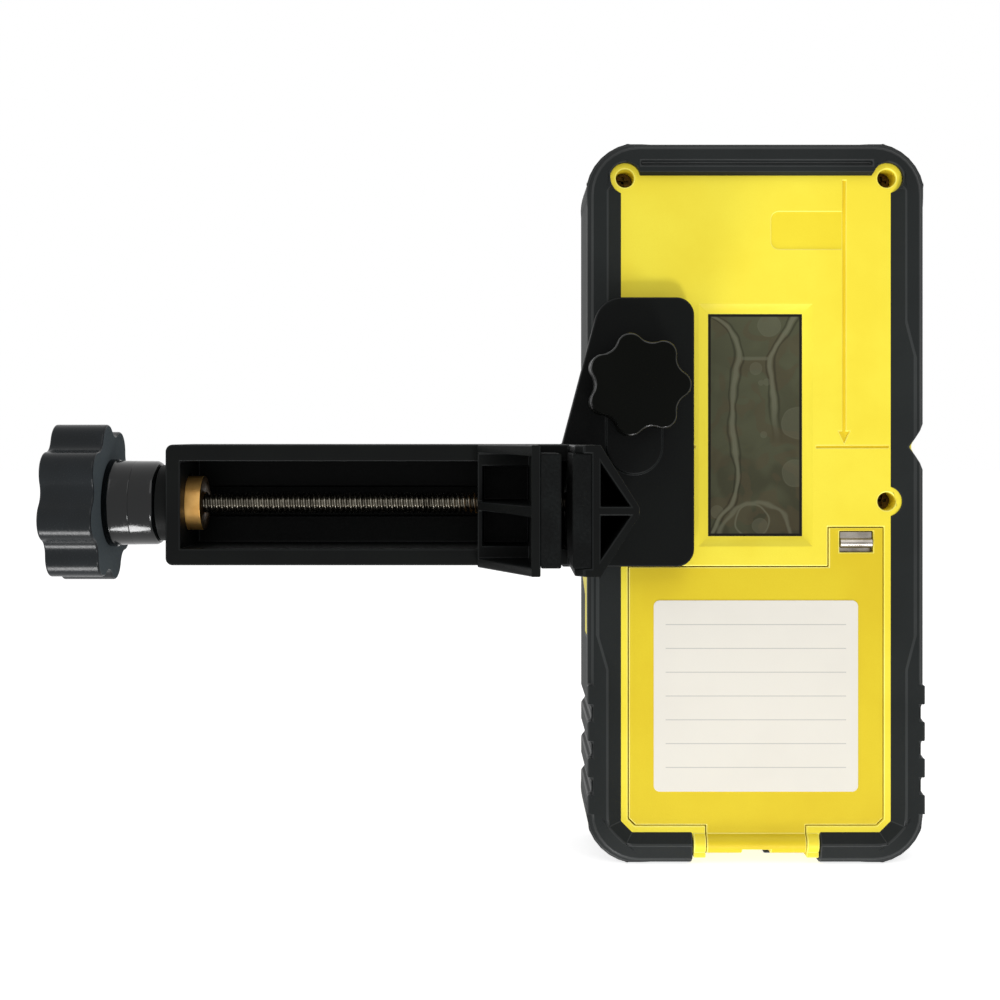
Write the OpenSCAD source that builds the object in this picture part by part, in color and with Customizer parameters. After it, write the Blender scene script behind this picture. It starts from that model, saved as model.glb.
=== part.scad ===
// Laser receiver with its rod clamp.
// The origin is the middle of the fixed jaw's gripping face. +X points from the jaws to the receiver,
// +Y from the back of the receiver to its front, and +Z up.

/* [Receiver case] */
// Width of the case over its bumper
case_w = 85; // [80:0.5:92]
// Height of the case above the on-grade line
case_up = 76.5; // [74:0.5:84]
// Height of the case below the on-grade line
case_down = 105; // [103:0.5:112]
// Radius of the case's outer corners
case_r = 13; // [11:0.5:15]
// Wall of the rear and front shells
shell_t = 2.2; // [2:0.1:2.6]
// Depth of the rear shell, to the parting line
rear_d = 9.5; // [9:0.1:11]
// Step from the bumper's front edge down to the front panel
front_step = 1.2; // [0.8:0.1:1.8]
// Height of the on-grade line above the clamp's screw
grade_z = 13.5; // [10:0.5:18]

/* [Bumper] */
// Thickness of the bumper round the shells
bumper_t = 3.2; // [2.8:0.1:3.6]
// Width of the back rim at the sides
rim_side = 8.9; // [8.5:0.1:9.5]
// Width of the back rim at the top and bottom
rim_end = 8.2; // [7.8:0.1:8.6]
// Rise of the rim's crest above the back panel
rim_rise = 1.8; // [1.4:0.1:1.9]
// Width of the rim's outer band, outside the crest
rim_band = 5; // [4.4:0.1:5.6]
// Depth of the on-grade notches in the bumper
notch_depth = 4; // [3:0.1:4.4]
// Half height of the on-grade notches
notch_half = 5.7; // [4:0.1:7]
// Number of grip notches on each side
grip_count = 3; // [2:1:4]
// Spacing of the grip notches
grip_pitch = 9.2; // [8:0.1:10]
// Depth of the grip notches
grip_depth = 1.1; // [0.6:0.1:1.6]
// Half height of the side window over the rear shell
cheek_rear = 34.5; // [31:0.5:37]
// Half height of the side window over the front shell
cheek_front = 25; // [22:0.5:30]
// Distance from the on-grade line down to the middle of the side window
cheek_drop = 13.5; // [11:0.5:14]
// Top of the narrow part of the rim above the on-grade line
waist_up = 22.3; // [18:0.1:26]
// Bottom of the narrow part of the rim below the on-grade line
waist_down = 47.1; // [42:0.1:49]

/* [Rear display] */
// Width of the rear display window
rear_view_w = 23.2; // [20:0.1:26]
// Top of the rear display window above the on-grade line
rear_view_up = 33.3; // [28:0.1:38]
// Distance from the battery door up to the rear display window
view_gap = 8; // [7:0.1:10]
// Width of the sloped frame round the rear window
bezel_w = 2.8; // [2:0.1:3.2]
// Depth of the rear window below the panel
lens_sink = 1.2; // [0.8:0.1:1.4]
// Thickness of the display windows
lens_t = 2; // [1.5:0.1:2.2]

/* [Battery door] */
// Distance from the case's side to the battery door
door_side = 10.5; // [9.5:0.5:12]
// Share of the case below the on-grade line that the battery door takes, without its tab
door_share = 0.619; // [0.58:0.001:0.63]
// Thickness of the battery door
door_t = 2.2; // [2:0.1:2.6]
// Width of the latch tab at the door's top right
tab_w = 13.6; // [12:0.1:15]
// Height of the latch tab
tab_h = 9.9; // [9:0.1:11]
// Gap round the battery door
door_gap = 0.25; // [0.2:0.05:0.4]
// Width of the door's hinge tongue
tongue_w = 25; // [20:0.5:28]
// Diameter of the hinge pin
pin_d = 2.4; // [2:0.1:2.6]
// Radius of the hinge barrel
barrel_r = 2.6; // [2.2:0.1:2.7]
// Distance from the door's side to its label
label_side = 6.25; // [4:0.05:9]
// Distance from the door's top and bottom to its label
label_end = 8.4; // [6:0.1:11]
// Travel of the door latch
latch_travel = 0.9; // [0.6:0.1:1.1]

/* [Front side] */
// Width of the beam sensor window
sensor_w = 22; // [18:0.5:26]
// Height of the beam sensor window
sensor_h = 54; // [46:0.5:58]
// Width of the front display window
front_view_w = 34; // [28:0.5:38]
// Height of the front display window
front_view_h = 24; // [20:0.5:26]
// Diameter of the buttons
button_d = 10; // [8:0.5:11]
// Spacing of the buttons
button_pitch = 14.5; // [13:0.5:16]
// Travel of the buttons
button_travel = 0.7; // [0.5:0.1:0.9]

/* [Batteries] */
// Diameter of one cell
cell_d = 14.5; // [13.5:0.1:14.8]
// Depth in front of the main board, for the displays and buttons
front_room = 5.1; // [4.8:0.1:8]
// Room for a contact at each end of a cell
contact_room = 4.75; // [4:0.05:6]

/* [Clamp bracket] */
// Length of the open channel between its end walls
channel_l = 91.2; // [86:0.2:98]
// Outer width of the channel
channel_w = 28.5; // [27:0.1:30]
// Depth of the channel from its rim to its back
channel_d = 24; // [23:0.1:26]
// Side walls of the channel
channel_wall = 3.9; // [3:0.1:4.2]
// Wall at the knob end of the channel
end_wall = 3.5; // [3:0.1:5]
// Back wall of the channel
floor_t = 3; // [2.4:0.1:3.4]
// Width of the guide slot in the channel's back
slot_w = 3; // [2.8:0.1:4]
// Thickness of the mounting plate
plate_t = 4; // [3:0.1:4.5]
// Reach of the mounting plate past the fixed jaw's back
plate_reach = 26.35; // [26:0.05:29]
// Height of the plate's top edge above the clamp's screw
plate_top = 50.7; // [48:0.1:54]
// Depth of the plate's bottom edge below the clamp's screw
plate_bottom = 16.2; // [15.5:0.1:18]
// Lean of the plate's left edge, in degrees
plate_lean = 14.8; // [8:0.1:16]
// Height of the boss on the case that the plate sits on
boss_h = 2; // [1.9:0.05:2.4]

/* [Jaws] */
// Half length of the jaw pads along the rod's depth
jaw_reach = 14; // [12:0.1:16]
// Thickness of the fixed jaw's pad
pad_t = 4.1; // [3:0.1:5]
// Thickness of the sliding jaw's pad
slide_pad_t = 4.5; // [3:0.1:5.5]
// Half width of the jaw pads
pad_half = 12.45; // [10:0.05:13]
// Thickness of the jaw walls
jaw_t = 1.95; // [1.6:0.05:2.4]
// Thickness of the ribs behind the jaws
rib_t = 2; // [1.6:0.1:2.6]
// Length of the sliding jaw's base
slider_l = 14; // [12:0.1:18]
// Opening between the jaws as stored
jaw_gap = 2.5; // [2.3:0.1:4]
// Running clearance of the slider in the channel
slide_gap = 0.25; // [0.15:0.05:0.35]

/* [Clamp screw] */
// Diameter of the lead screw
screw_d = 5.2; // [4.6:0.1:6]
// Radial clearance of shafts in their holes
run_gap = 0.05; // [0.02:0.01:0.08]
// Radius of the clamp knob over its lobes
knob_r = 19.4; // [18:0.1:22]
// Radius of the clamp knob in its valleys
knob_valley = 16.5; // [15.5:0.1:17]
// Number of lobes on the clamp knob
knob_lobes = 8; // [7:1:9]
// Turn of the clamp knob as stored, in degrees
knob_turn = 13.5; // [0:0.5:44]
// Thickness of the clamp knob
knob_t = 12.7; // [10:0.1:14]
// Length of the knob's hub
hub_l = 12.1; // [10:0.1:15]
// Diameter of the knob's hub
hub_d = 21.2; // [18:0.1:23]
// Thickness of the washer under the hub
washer_t = 3.4; // [2:0.1:4]
// Diameter of the washer under the hub
washer_d = 18.4; // [15:0.1:20]
// Diameter of the brass collar inside the channel
collar_d = 13.2; // [11:0.1:16]
// Length of the brass collar
collar_l = 4.4; // [3:0.1:5]

/* [Mounting knob] */
// Diameter of the mounting stud
stud_d = 5; // [4:0.1:6]
// Radius of the mounting knob over its lobes
thumb_r = 12.6; // [11:0.1:14]
// Radius of the mounting knob in its valleys
thumb_valley = 10.5; // [9.5:0.1:10.8]
// Number of lobes on the mounting knob
thumb_lobes = 7; // [6:1:8]
// Thickness of the mounting knob's lobed head
thumb_t = 9; // [7:0.1:11]
// Length of the mounting knob's neck
neck_l = 2.7; // [2:0.1:4]

/* [Hidden] */
$fn = 64;
hull_fn = 32;
eps = 0.02;
slice_t = 0.2;
cut = 1;
touch_gap = 0.1;

// Depth of the case: what lies between the back panel and the front of the bumper
tub_wall = 1.6;
cell_gap = 0.1;
cell_top = 1.2;
board_t = 1.6;
board_gap = 0.3;
cell_depth = door_t + cell_top + cell_d + cell_gap + tub_wall;
case_d = cell_depth + board_gap + board_t + front_room + shell_t + front_step;

// Places along the clamp, from the fixed jaw's gripping face outwards
jaw_back = pad_t + jaw_t;
channel_x0 = -channel_l;
channel_end = channel_x0 - end_wall;
washer_x0 = channel_end - washer_t;
hub_x0 = washer_x0 - touch_gap - hub_l;
knob_x0 = hub_x0 - knob_t;
collar_in = 1;
collar_gap = 0.4;
slider_x1 = -jaw_gap - slide_pad_t;
slider_x0 = slider_x1 - slider_l;
socket_l = 16;

// Depths of the clamp: the pads lie across the origin, and the channel's rim meets their edge
rim_y = jaw_reach;
back_y = rim_y + channel_d;
screw_y = rim_y + channel_d / 2;
floor_y = back_y - floor_t;
panel_y = back_y;
plate_y1 = panel_y - boss_h;
plate_y0 = plate_y1 - plate_t;
channel_half = channel_w / 2;
inner_half = channel_half - channel_wall;

// Place of the receiver: its left side stands just beside the fixed jaw's back
side_gap = 0.15;
rec_x = jaw_back + side_gap + case_w / 2;

// Shells inside the bumper
shell_half = case_w / 2 - bumper_t;
notch_show = 1.3;
shell_down = case_down - bumper_t;
shell_r = case_r - bumper_t;
front_y = case_d - front_step;
front_in = front_y - shell_t;
seal_half = 0.5;

// Screw ears at the panel's edge
ear_side = 9.5;
ear_x = case_w / 2 - ear_side;
ear_drop = 8.8;
ear_r = 3.4;
ear_hole_r = 2.3;
screw_shank_r = 1.25;
screw_head_y = 8.3;
screw_floor = 2;
post_r = 4;

// Battery bay
door_margin = 1.5;
door_w = case_w - 2 * door_side;
door_h = case_down * door_share;
door_z0 = -case_down + rim_end + door_margin;
door_z1 = door_z0 + door_h;
tab_x1 = door_w / 2;
tab_x0 = tab_x1 - tab_w;
tab_z1 = door_z1 + tab_h;
rear_view_down = -door_z1 - view_gap;
ear_above = 2.65;
ear_zs = [case_up - ear_drop, tab_z1 + ear_above + post_r];
ledge = 2;
seat_gap = 0.2;
seat_y = door_t + seat_gap;
bay_half = door_w / 2 - ledge;
cell_l = 2 * (bay_half - contact_room);
bay_z0 = door_z0 + ledge;
bay_z1 = door_z1 - ledge;
cell_y = door_t + cell_top + cell_d / 2;
bay_y1 = cell_y + cell_d / 2 + cell_gap;
tub_y1 = bay_y1 + tub_wall;
bay_mid = (bay_z0 + bay_z1) / 2;
cell_web = 0.6;
cell_pitch = cell_d + cell_web;
latch_floor = 3;

// Edge of the bumper's rim
edge_in = 1.2;
edge_y = 1.1;

// Hinge of the battery door
pin_y = 0.9;
pin_drop = 4.6;
pin_z = door_z0 - pin_drop;
pry_w = 7.1;
pry_in = 1.3;
pry_deep = 13.5;
barrel_gap = 0.3;
ear_gap = 0.2;
ear_w = 3.1;
hinge_half = tongue_w / 2 + ear_gap + ear_w;

// Latch window in the door's tab
latch_x0 = tab_x0 + 2.7;
latch_x1 = tab_x1 - 2.4;
latch_z1 = tab_z1 - 0.8;
latch_roll = 1.25;
latch_gap = 0.2;
latch_strip = 0.6;
latch_h = 4.1;
latch_z0 = latch_z1 - latch_h - latch_gap * 2 - latch_travel;

// Boards and displays between the shells
board_y0 = tub_y1 + board_gap;
board_y1 = board_y0 + board_t;
board_side = 2;
board_half = ear_x - post_r - board_side;
display_t = 2.8;
lens_set = 0.2;
front_view_gap = 8;
front_view_z = sensor_h / 2 + front_view_gap + front_view_h / 2;
button_share = 0.448;
button_z = -case_down * button_share;
button_gap = 0.3;
button_stand = 0.9;
button_flange = 1;
buzzer_share = 0.676;
buzzer_z = -case_down * buzzer_share;
buzzer_r = 7;
mat_t = 0.8;

// Mounting stud and the boss that takes it
boss_r = 6.95;
stud_in = 11.4;
stud_up = 15.1;
stud_x = jaw_back + stud_in;
stud_z = grade_z + stud_up;
boss_rise = 1;
insert_r = 4;
insert_l = 9;
case_boss_r = insert_r + tub_wall;
peg_r = 2.5;
peg_in_x = 8;
peg_drop = 30.6;
peg_x = stud_x + peg_in_x;
peg_z = stud_z - peg_drop;
peg_in = 1.2;
neck_r = 6;
thumb_washer_t = 0.8;
stud_socket = 8;
washer_y1 = plate_y0 - boss_rise - touch_gap;
washer_y0 = washer_y1 - thumb_washer_t;
neck_y1 = washer_y0 - touch_gap;
head_y1 = neck_y1 - neck_l;
head_y0 = head_y1 - thumb_t;

// Slider of the moving jaw, its nut and its keeper
saddle_t = 3.8;
saddle_y = rim_y - slide_gap;
nut_half = 4.5;
nut_l = 11;
keeper_in = 2;
keeper_t = 1.5;
keeper_y = back_y + slide_gap;
keeper_screw_r = 0.8;

// Colours as photographed
yellow = [0.93, 0.83, 0.16];
dark_grey = [0.18, 0.19, 0.2];
black = [0.09, 0.1, 0.09];
steel = [0.72, 0.73, 0.74];
brass = [0.8, 0.64, 0.34];
board_green = [0.12, 0.35, 0.2];
lens_grey = [0.25, 0.26, 0.22];

// Helpers: flat outlines swept along one axis, and round bars

// Sweeps an outline in (x, z) from y0 to y1.
module along_y(y0, y1) {
    translate([0, y1, 0])
        rotate([90, 0, 0])
            linear_extrude(y1 - y0)
                children();
}

// Sweeps an outline in (y, z) from x0 to x1.
module along_x(x0, x1) {
    translate([x0, 0, 0])
        rotate([90, 0, 90])
            linear_extrude(x1 - x0)
                children();
}

// Sweeps an outline in (x, y) from z0 to z1.
module along_z(z0, z1) {
    translate([0, 0, z0])
        linear_extrude(z1 - z0)
            children();
}

module rod_y(x, z, y0, y1, r) {
    translate([x, y1, z])
        rotate([90, 0, 0])
            cylinder(h = y1 - y0, r = r);
}

module rod_x(y, z, x0, x1, r) {
    translate([x0, y, z])
        rotate([0, 90, 0])
            cylinder(h = x1 - x0, r = r);
}

// Block between two corners.
module block(low, high) {
    translate(low)
        cube(high - low);
}

// Rounded rectangle between two corners.
module round_rect(x0, x1, z0, z1, r) {
    translate([x0 + r, z0])
        square([x1 - x0 - 2 * r, z1 - z0]);
    translate([x0, z0 + r])
        square([x1 - x0, z1 - z0 - 2 * r]);
    for (x = [x0 + r, x1 - r], z = [z0 + r, z1 - r])
        translate([x, z])
            circle(r);
}

module rect(x0, x1, z0, z1) {
    translate([x0, z0])
        square([x1 - x0, z1 - z0]);
}

// Lobed hand-wheel outline with true arcs: lobes of radius lobe_r, valleys that meet them tangent.
module lobed(outer_r, valley_r, count, lobe_r) {
    ring_r = outer_r - lobe_r;
    half = 180 / count;
    valley_arc = (ring_r * ring_r + valley_r * valley_r - 2 * ring_r * valley_r * cos(half) - lobe_r * lobe_r)
        / (2 * (ring_r * cos(half) + lobe_r - valley_r));
    valley_ring = valley_r + valley_arc;
    difference() {
        union() {
            polygon([for (i = [0 : 2 * count - 1])
                let (r = i % 2 == 0 ? ring_r : valley_ring)
                [r * cos(i * half), r * sin(i * half)]]);
            for (i = [0 : count - 1])
                rotate(2 * i * half)
                    translate([ring_r, 0])
                        circle(lobe_r);
        }
        for (i = [0 : count - 1])
            rotate((2 * i + 1) * half)
                translate([valley_ring, 0])
                    circle(valley_arc);
    }
}

// Moves a receiver piece, drawn about the on-grade line at the back panel, to its place.
module at_receiver() {
    translate([rec_x, panel_y, grade_z])
        children();
}

// Case outline pulled in by a width at the sides and a width at the ends.
module case_outline(in_x, in_z, r) {
    round_rect(-case_w / 2 + in_x, case_w / 2 - in_x, -case_down + in_z, case_up - in_z, r);
}

// Outline of the two shells, pulled in by a wall.
module shell_outline(wall) {
    case_outline(bumper_t + wall, bumper_t + wall, shell_r - wall);
}

// Outline of the battery door, grown by a gap.
module door_outline(gap) {
    chamfer = 1.7;
    polygon([
        [-door_w / 2 - gap, door_z0 + chamfer - gap],
        [-door_w / 2 + chamfer - gap, door_z0 - gap],
        [door_w / 2 - chamfer + gap, door_z0 - gap],
        [door_w / 2 + gap, door_z0 + chamfer - gap],
        [tab_x1 + gap, tab_z1 + gap],
        [tab_x0 - gap, tab_z1 + gap],
        [tab_x0 - gap, door_z1 + gap],
        [-door_w / 2 - gap, door_z1 + gap]
    ]);
}

// Mirrored pair about the receiver's middle.
module both_sides() {
    children();
    mirror([1, 0, 0])
        children();
}

// On-grade notch: a wedge that runs through the depth of the case.
module grade_notch(deep, half, y0, y1) {
    reach = half * (deep + cut) / deep;
    both_sides()
        along_y(y0, y1)
            polygon([[case_w / 2 + cut, -reach], [case_w / 2 + cut, reach], [case_w / 2 - deep, 0]]);
}

// Receiver: shells, bumper and what they hold

// Side window of the bumper, in (y, z): tall over the rear shell, shorter and tapered over the front shell.
module cheek_outline(gap) {
    low_y = 2.5;
    taper = 5;
    deep_y = front_y - shell_t - 2;
    translate([0, -cheek_drop])
        polygon([
            [low_y - gap, -cheek_rear - gap], [rear_d, -cheek_rear - gap], [rear_d, -cheek_front - gap],
            [deep_y + gap, -cheek_front + taper - gap], [deep_y + gap, cheek_front - taper + gap],
            [rear_d, cheek_front + gap], [rear_d, cheek_rear + gap], [low_y - gap, cheek_rear + gap]
        ]);
}

// Flush cheeks of the shells, cut to one shell's depth.
module cheeks(y0, y1) {
    intersection() {
        both_sides()
            along_x(shell_half - cut, case_w / 2)
                cheek_outline(-touch_gap);
        block([-case_w, y0, -case_down], [case_w, y1, case_up]);
    }
}

// Ring of the gasket between the shells, and of the grooves that hold it.
module seal_ring(y0, y1) {
    inset = 0.6;
    width = 1;
    difference() {
        along_y(y0, y1)
            shell_outline(inset);
        along_y(y0 - cut, y1 + cut)
            shell_outline(inset + width);
    }
}

module screw_places() {
    for (x = [-ear_x, ear_x], z = ear_zs)
        translate([x, 0, z])
            children();
}

module rear_case() {
    tub_half = door_w / 2 + door_gap + tub_wall;
    tub_z0 = door_z0 - door_gap - tub_wall;
    tub_z1 = door_z1 + door_gap + tub_wall;
    pocket_y1 = seat_y + latch_floor;
    hinge_y1 = pin_y + barrel_r + barrel_gap + tub_wall;
    view_half = rear_view_w / 2;
    lens_over = 1.5;
    line_w = 0.8;
    line_deep = 0.5;
    arrow_x = 22.3;
    arrow_w = 1;
    mark_x0 = 3.8;
    mark_drop = 21.9;
    mark_z = case_up - mark_drop;
    mark_h = 9.6;
    panel_half = case_w / 2 - rim_side;
    color(yellow)
        at_receiver()
            difference() {
                union() {
                    difference() {
                        along_y(0, rear_d)
                            shell_outline(0);
                        along_y(shell_t, rear_d + cut)
                            shell_outline(shell_t);
                    }
                    along_y(0, tub_y1)
                        rect(-tub_half, tub_half, tub_z0, tub_z1);
                    along_y(0, pocket_y1 + tub_wall)
                        rect(tab_x0 - door_gap - tub_wall, tab_x1 + door_gap + tub_wall,
                            tub_z1 - cut, tab_z1 + door_gap + tub_wall);
                    along_y(0, hinge_y1)
                        rect(-hinge_half, hinge_half, -shell_down, tub_z0 + cut);
                    hinge_ears();
                    cheeks(0, rear_d);
                    rod_y(stud_x - rec_x, stud_z - grade_z, -boss_h, insert_l - boss_h, case_boss_r);
                    screw_places()
                        rod_y(0, 0, 0, rear_d, post_r);
                }
                along_y(door_t, bay_y1)
                    rect(-bay_half, bay_half, bay_z0, bay_z1);
                along_y(-rim_rise - cut, seat_y)
                    door_outline(door_gap);
                along_y(seat_y - eps, pocket_y1)
                    rect(tab_x0 - door_gap, tab_x1 + door_gap, door_z1 - ledge, tab_z1 + door_gap);
                along_y(-rim_rise - cut, seat_y)
                    rect(-tongue_w / 2 - ear_gap, tongue_w / 2 + ear_gap, pin_z, door_z0 + cut);
                rod_x(pin_y, pin_z, -tongue_w / 2 - ear_gap, tongue_w / 2 + ear_gap, barrel_r + barrel_gap);
                rod_x(pin_y, pin_z, -hinge_half - cut, hinge_half + cut, pin_d / 2);
                block([-pry_w / 2, -cut, -case_down], [pry_w / 2, pin_y + barrel_r, pin_z - barrel_r + pry_in / 2]);
                hull() {
                    along_y(-eps, 0)
                        rect(-view_half - bezel_w, view_half + bezel_w,
                            -rear_view_down - bezel_w, rear_view_up + bezel_w);
                    along_y(lens_sink, lens_sink + eps)
                        rect(-view_half, view_half, -rear_view_down, rear_view_up);
                }
                along_y(lens_sink, shell_t + cut)
                    rect(-view_half - lens_over, view_half + lens_over,
                        -rear_view_down - lens_over, rear_view_up + lens_over);
                screw_places() {
                    rod_y(0, 0, -cut, screw_head_y, ear_hole_r);
                    rod_y(0, 0, 0, rear_d + cut, screw_shank_r + run_gap);
                }
                rod_y(stud_x - rec_x, stud_z - grade_z, -boss_h - cut, insert_l - boss_h + cut, insert_r);
                rod_y(peg_x - rec_x, peg_z - grade_z, -cut, peg_in + touch_gap, peg_r + run_gap);
                grade_notch(notch_depth - notch_show, notch_half, -cut, rear_d + cut);
                both_sides()
                    along_y(-cut, line_deep)
                        rect(view_half + bezel_w + line_w, panel_half, -line_w / 2, line_w / 2);
                along_y(-cut, line_deep) {
                    rect(arrow_x - arrow_w / 2, arrow_x + arrow_w / 2, 3 * line_w, case_up - rim_end - arrow_w);
                    polygon([[arrow_x, line_w], [arrow_x - 1.5 * arrow_w, 4 * arrow_w],
                        [arrow_x + 1.5 * arrow_w, 4 * arrow_w]]);
                }
                along_y(-cut, line_deep / 2)
                    intersection() {
                        round_rect(mark_x0, arrow_x + arrow_w * 3, mark_z - mark_h / 2, mark_z + mark_h / 2, 2);
                        rect(mark_x0, arrow_x, mark_z - mark_h / 2, mark_z + mark_h / 2);
                    }
                seal_ring(rear_d - seal_half, rear_d + cut);
            }
}

// Ears either side of the door's hinge tongue, round at the pin and square below it.
module hinge_ears() {
    foot = 1;
    foot_y = 0.6;
    both_sides() {
        rod_x(pin_y, pin_z, tongue_w / 2 + ear_gap, hinge_half, barrel_r);
        block([tongue_w / 2 + ear_gap, -foot_y, pin_z - barrel_r - foot], [hinge_half, rear_d - cut, pin_z]);
        block([tongue_w / 2 + ear_gap, pin_y, pin_z - cut], [hinge_half, rear_d - cut, pin_z + barrel_r]);
    }
}

module button_places() {
    for (i = [0 : 3])
        translate([(i - 1.5) * button_pitch, 0, button_z])
            children();
}

module front_case() {
    hole_r = 0.9;
    ring_r = 4;
    board_post_r = 2.5;
    post_in = 2;
    color(yellow)
        at_receiver()
            difference() {
                union() {
                    difference() {
                        along_y(rear_d, front_y)
                            shell_outline(0);
                        along_y(rear_d - cut, front_in)
                            shell_outline(shell_t);
                    }
                    cheeks(rear_d, front_y);
                    screw_places()
                        rod_y(0, 0, rear_d, front_in + eps, post_r);
                    for (x = [-1, 1], z = [front_view_z + front_view_h / 2 - post_in, button_z - button_d])
                        rod_y(x * (board_half - board_post_r), z, board_y1, front_in + eps, board_post_r);
                }
                along_y(front_in - cut, front_y + cut)
                    rect(-sensor_w / 2, sensor_w / 2, -sensor_h / 2, sensor_h / 2);
                along_y(front_in - cut, front_y + cut)
                    rect(-front_view_w / 2, front_view_w / 2,
                        front_view_z - front_view_h / 2, front_view_z + front_view_h / 2);
                button_places()
                    rod_y(0, 0, front_in - cut, front_y + cut, button_d / 2 + button_gap);
                translate([0, 0, buzzer_z]) {
                    rod_y(0, 0, front_in - cut, front_y + cut, hole_r);
                    for (i = [0 : 5])
                        rotate([0, 60 * i, 0])
                            rod_y(ring_r, 0, front_in - cut, front_y + cut, hole_r);
                }
                screw_places()
                    rod_y(0, 0, rear_d - cut, front_in - screw_floor, screw_shank_r + run_gap);
                grade_notch(notch_depth - notch_show, notch_half, rear_d - cut, front_y + cut);
                seal_ring(rear_d - cut, rear_d + seal_half);
            }
}

// Four corner discs of the case outline at one depth, pulled in at the sides and ends, to hull over.
module corners(y, in_x, in_z) {
    r = max(1, case_r - min(in_x, in_z));
    for (x = [-case_w / 2 + in_x + r, case_w / 2 - in_x - r], z = [-case_down + in_z + r, case_up - in_z - r])
        rod_y(x, z, y, y + slice_t, r, $fn = hull_fn);
}

// Thicker bumper material round the four corners.
module corner_armour(y0, y1) {
    swell = 0.12;
    past = 1.2;
    for (sx = [-1, 1], up = [-1, 1]) {
        cz = up > 0 ? case_up - case_r : -case_down + case_r;
        cx = sx * (case_w / 2 - case_r);
        intersection() {
            rod_y(cx, cz, y0, y1, case_r + swell);
            translate([cx - sx * past, y0, cz - up * past])
                mirror([sx < 0 ? 1 : 0, 0, 0])
                    mirror([0, 0, up < 0 ? 1 : 0])
                        cube([case_r * 2, y1 - y0, case_r * 2]);
        }
    }
}

// Waist of the rim beside the on-grade notch, where the inner slope runs out to the edge.
module waist() {
    run_out = 8.8;
    band = 2.5;
    inner = case_w / 2 - rim_side;
    edge = case_w / 2 - band;
    edge_rise = rim_rise - edge_y * (rim_band - band) / (rim_band - edge_in);
    crest = case_w / 2 - rim_band;
    top = -rim_rise - cut;
    hull() {
        along_z(-waist_down, waist_up)
            polygon([[inner, 0], [edge, -edge_rise], [edge, top], [inner, top]]);
        along_z(-waist_down - run_out, waist_up + run_out)
            polygon([[inner, 0], [crest, -rim_rise], [crest, top], [inner, top]]);
    }
}

// Panel's outline inside the rim at one depth, with chamfered corners, to hull over.
module panel_slice(y, in_x, in_low, in_high, leg) {
    x = case_w / 2 - in_x;
    z0 = -case_down + in_low;
    z1 = case_up - in_high;
    along_y(y, y + slice_t)
        polygon([
            [-x, z0 + leg], [-x + leg, z0], [x - leg, z0], [x, z0 + leg],
            [x, z1 - leg], [x - leg, z1], [-x + leg, z1], [-x, z1 - leg]
        ]);
}

module bumper() {
    front_rim = 7;
    front_edge = 2;
    front_in_x = 1.6;
    grip_half = 2.2;
    grip_up = 38;
    grip_z = case_down - grip_up;
    tooth_w = 2.1;
    tooth_rise = 0.9;
    tooth_half = grip_pitch / 2 - grip_half;
    groove_half = 29;
    groove_z0 = 4.4;
    groove_z1 = 5.9;
    groove_in = 0.3;
    groove_y = 0.7;
    ridge_in = 0.8;
    crest_leg = 4.5;
    panel_leg = 2.6;
    color(dark_grey)
        at_receiver()
            difference() {
                union() {
                    hull() {
                        corners(-rim_rise, rim_band, rim_band);
                        corners(-rim_rise + edge_y, edge_in, edge_in);
                        corners(edge_in, 0, 0);
                        corners(case_d - front_edge, 0, 0);
                        corners(case_d - slice_t, front_in_x, front_in_x);
                    }
                    corner_armour(edge_in, case_d - front_edge);
                    for (i = [-1 : grip_count - 1])
                        both_sides()
                            translate([case_w / 2, 0, -grip_z - (i + 0.5) * grip_pitch])
                                block([-tooth_w, -tooth_rise, -tooth_half], [0, edge_in, tooth_half]);
                }
                both_sides()
                    waist();
                along_x(-groove_half, groove_half)
                    polygon([
                        [-rim_rise - cut, case_up - groove_z0], [-groove_y, case_up - groove_z0 - groove_in],
                        [-groove_y, case_up - groove_z1 + groove_in], [-rim_rise - cut, case_up - groove_z1]
                    ]);
                hull() {
                    panel_slice(-rim_rise - slice_t, rim_band, rim_band, rim_end - ridge_in, crest_leg);
                    panel_slice(0, rim_side, rim_end, rim_end, panel_leg);
                }
                along_y(0, front_y)
                    shell_outline(0);
                along_y(front_y - eps, case_d + cut)
                    case_outline(front_rim, front_rim, case_r - front_rim);
                screw_places()
                    rod_y(0, 0, -rim_rise - cut, cut, ear_r + touch_gap * 4);
                both_sides()
                    along_x(shell_half - cut, case_w / 2 + cut)
                        cheek_outline(0);
                rod_y(stud_x - rec_x, stud_z - grade_z, -rim_rise - cut, eps, case_boss_r + touch_gap);
                grade_notch(notch_depth, notch_half, -rim_rise - cut, case_d + cut);
                for (i = [0 : grip_count - 1])
                    both_sides()
                        translate([case_w / 2, 0, -grip_z - i * grip_pitch])
                            along_y(-rim_rise - cut, case_d + cut)
                                polygon([[cut, -grip_half - cut], [-grip_depth, -grip_half + grip_depth],
                                    [-grip_depth, grip_half - grip_depth], [cut, grip_half + cut]]);
                block([-hinge_half - ear_gap, -rim_rise - cut, -case_down - cut],
                    [hinge_half + ear_gap, rear_d - cut / 2, pin_z + barrel_r * 2]);
                block([-pry_w / 2, 0, -case_down - cut], [pry_w / 2, pry_deep, -shell_down + eps]);
            }
}

module case_seal() {
    color("dimgray")
        at_receiver()
            seal_ring(rear_d - seal_half, rear_d + seal_half);
}

module case_screws() {
    head_t = 2.2;
    head_r = ear_hole_r - touch_gap;
    color(steel)
        at_receiver()
            screw_places() {
                rod_y(0, 0, screw_head_y - head_t, screw_head_y, head_r);
                rod_y(0, 0, screw_head_y - eps, front_in - screw_floor - cut, screw_shank_r);
            }
}

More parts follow.
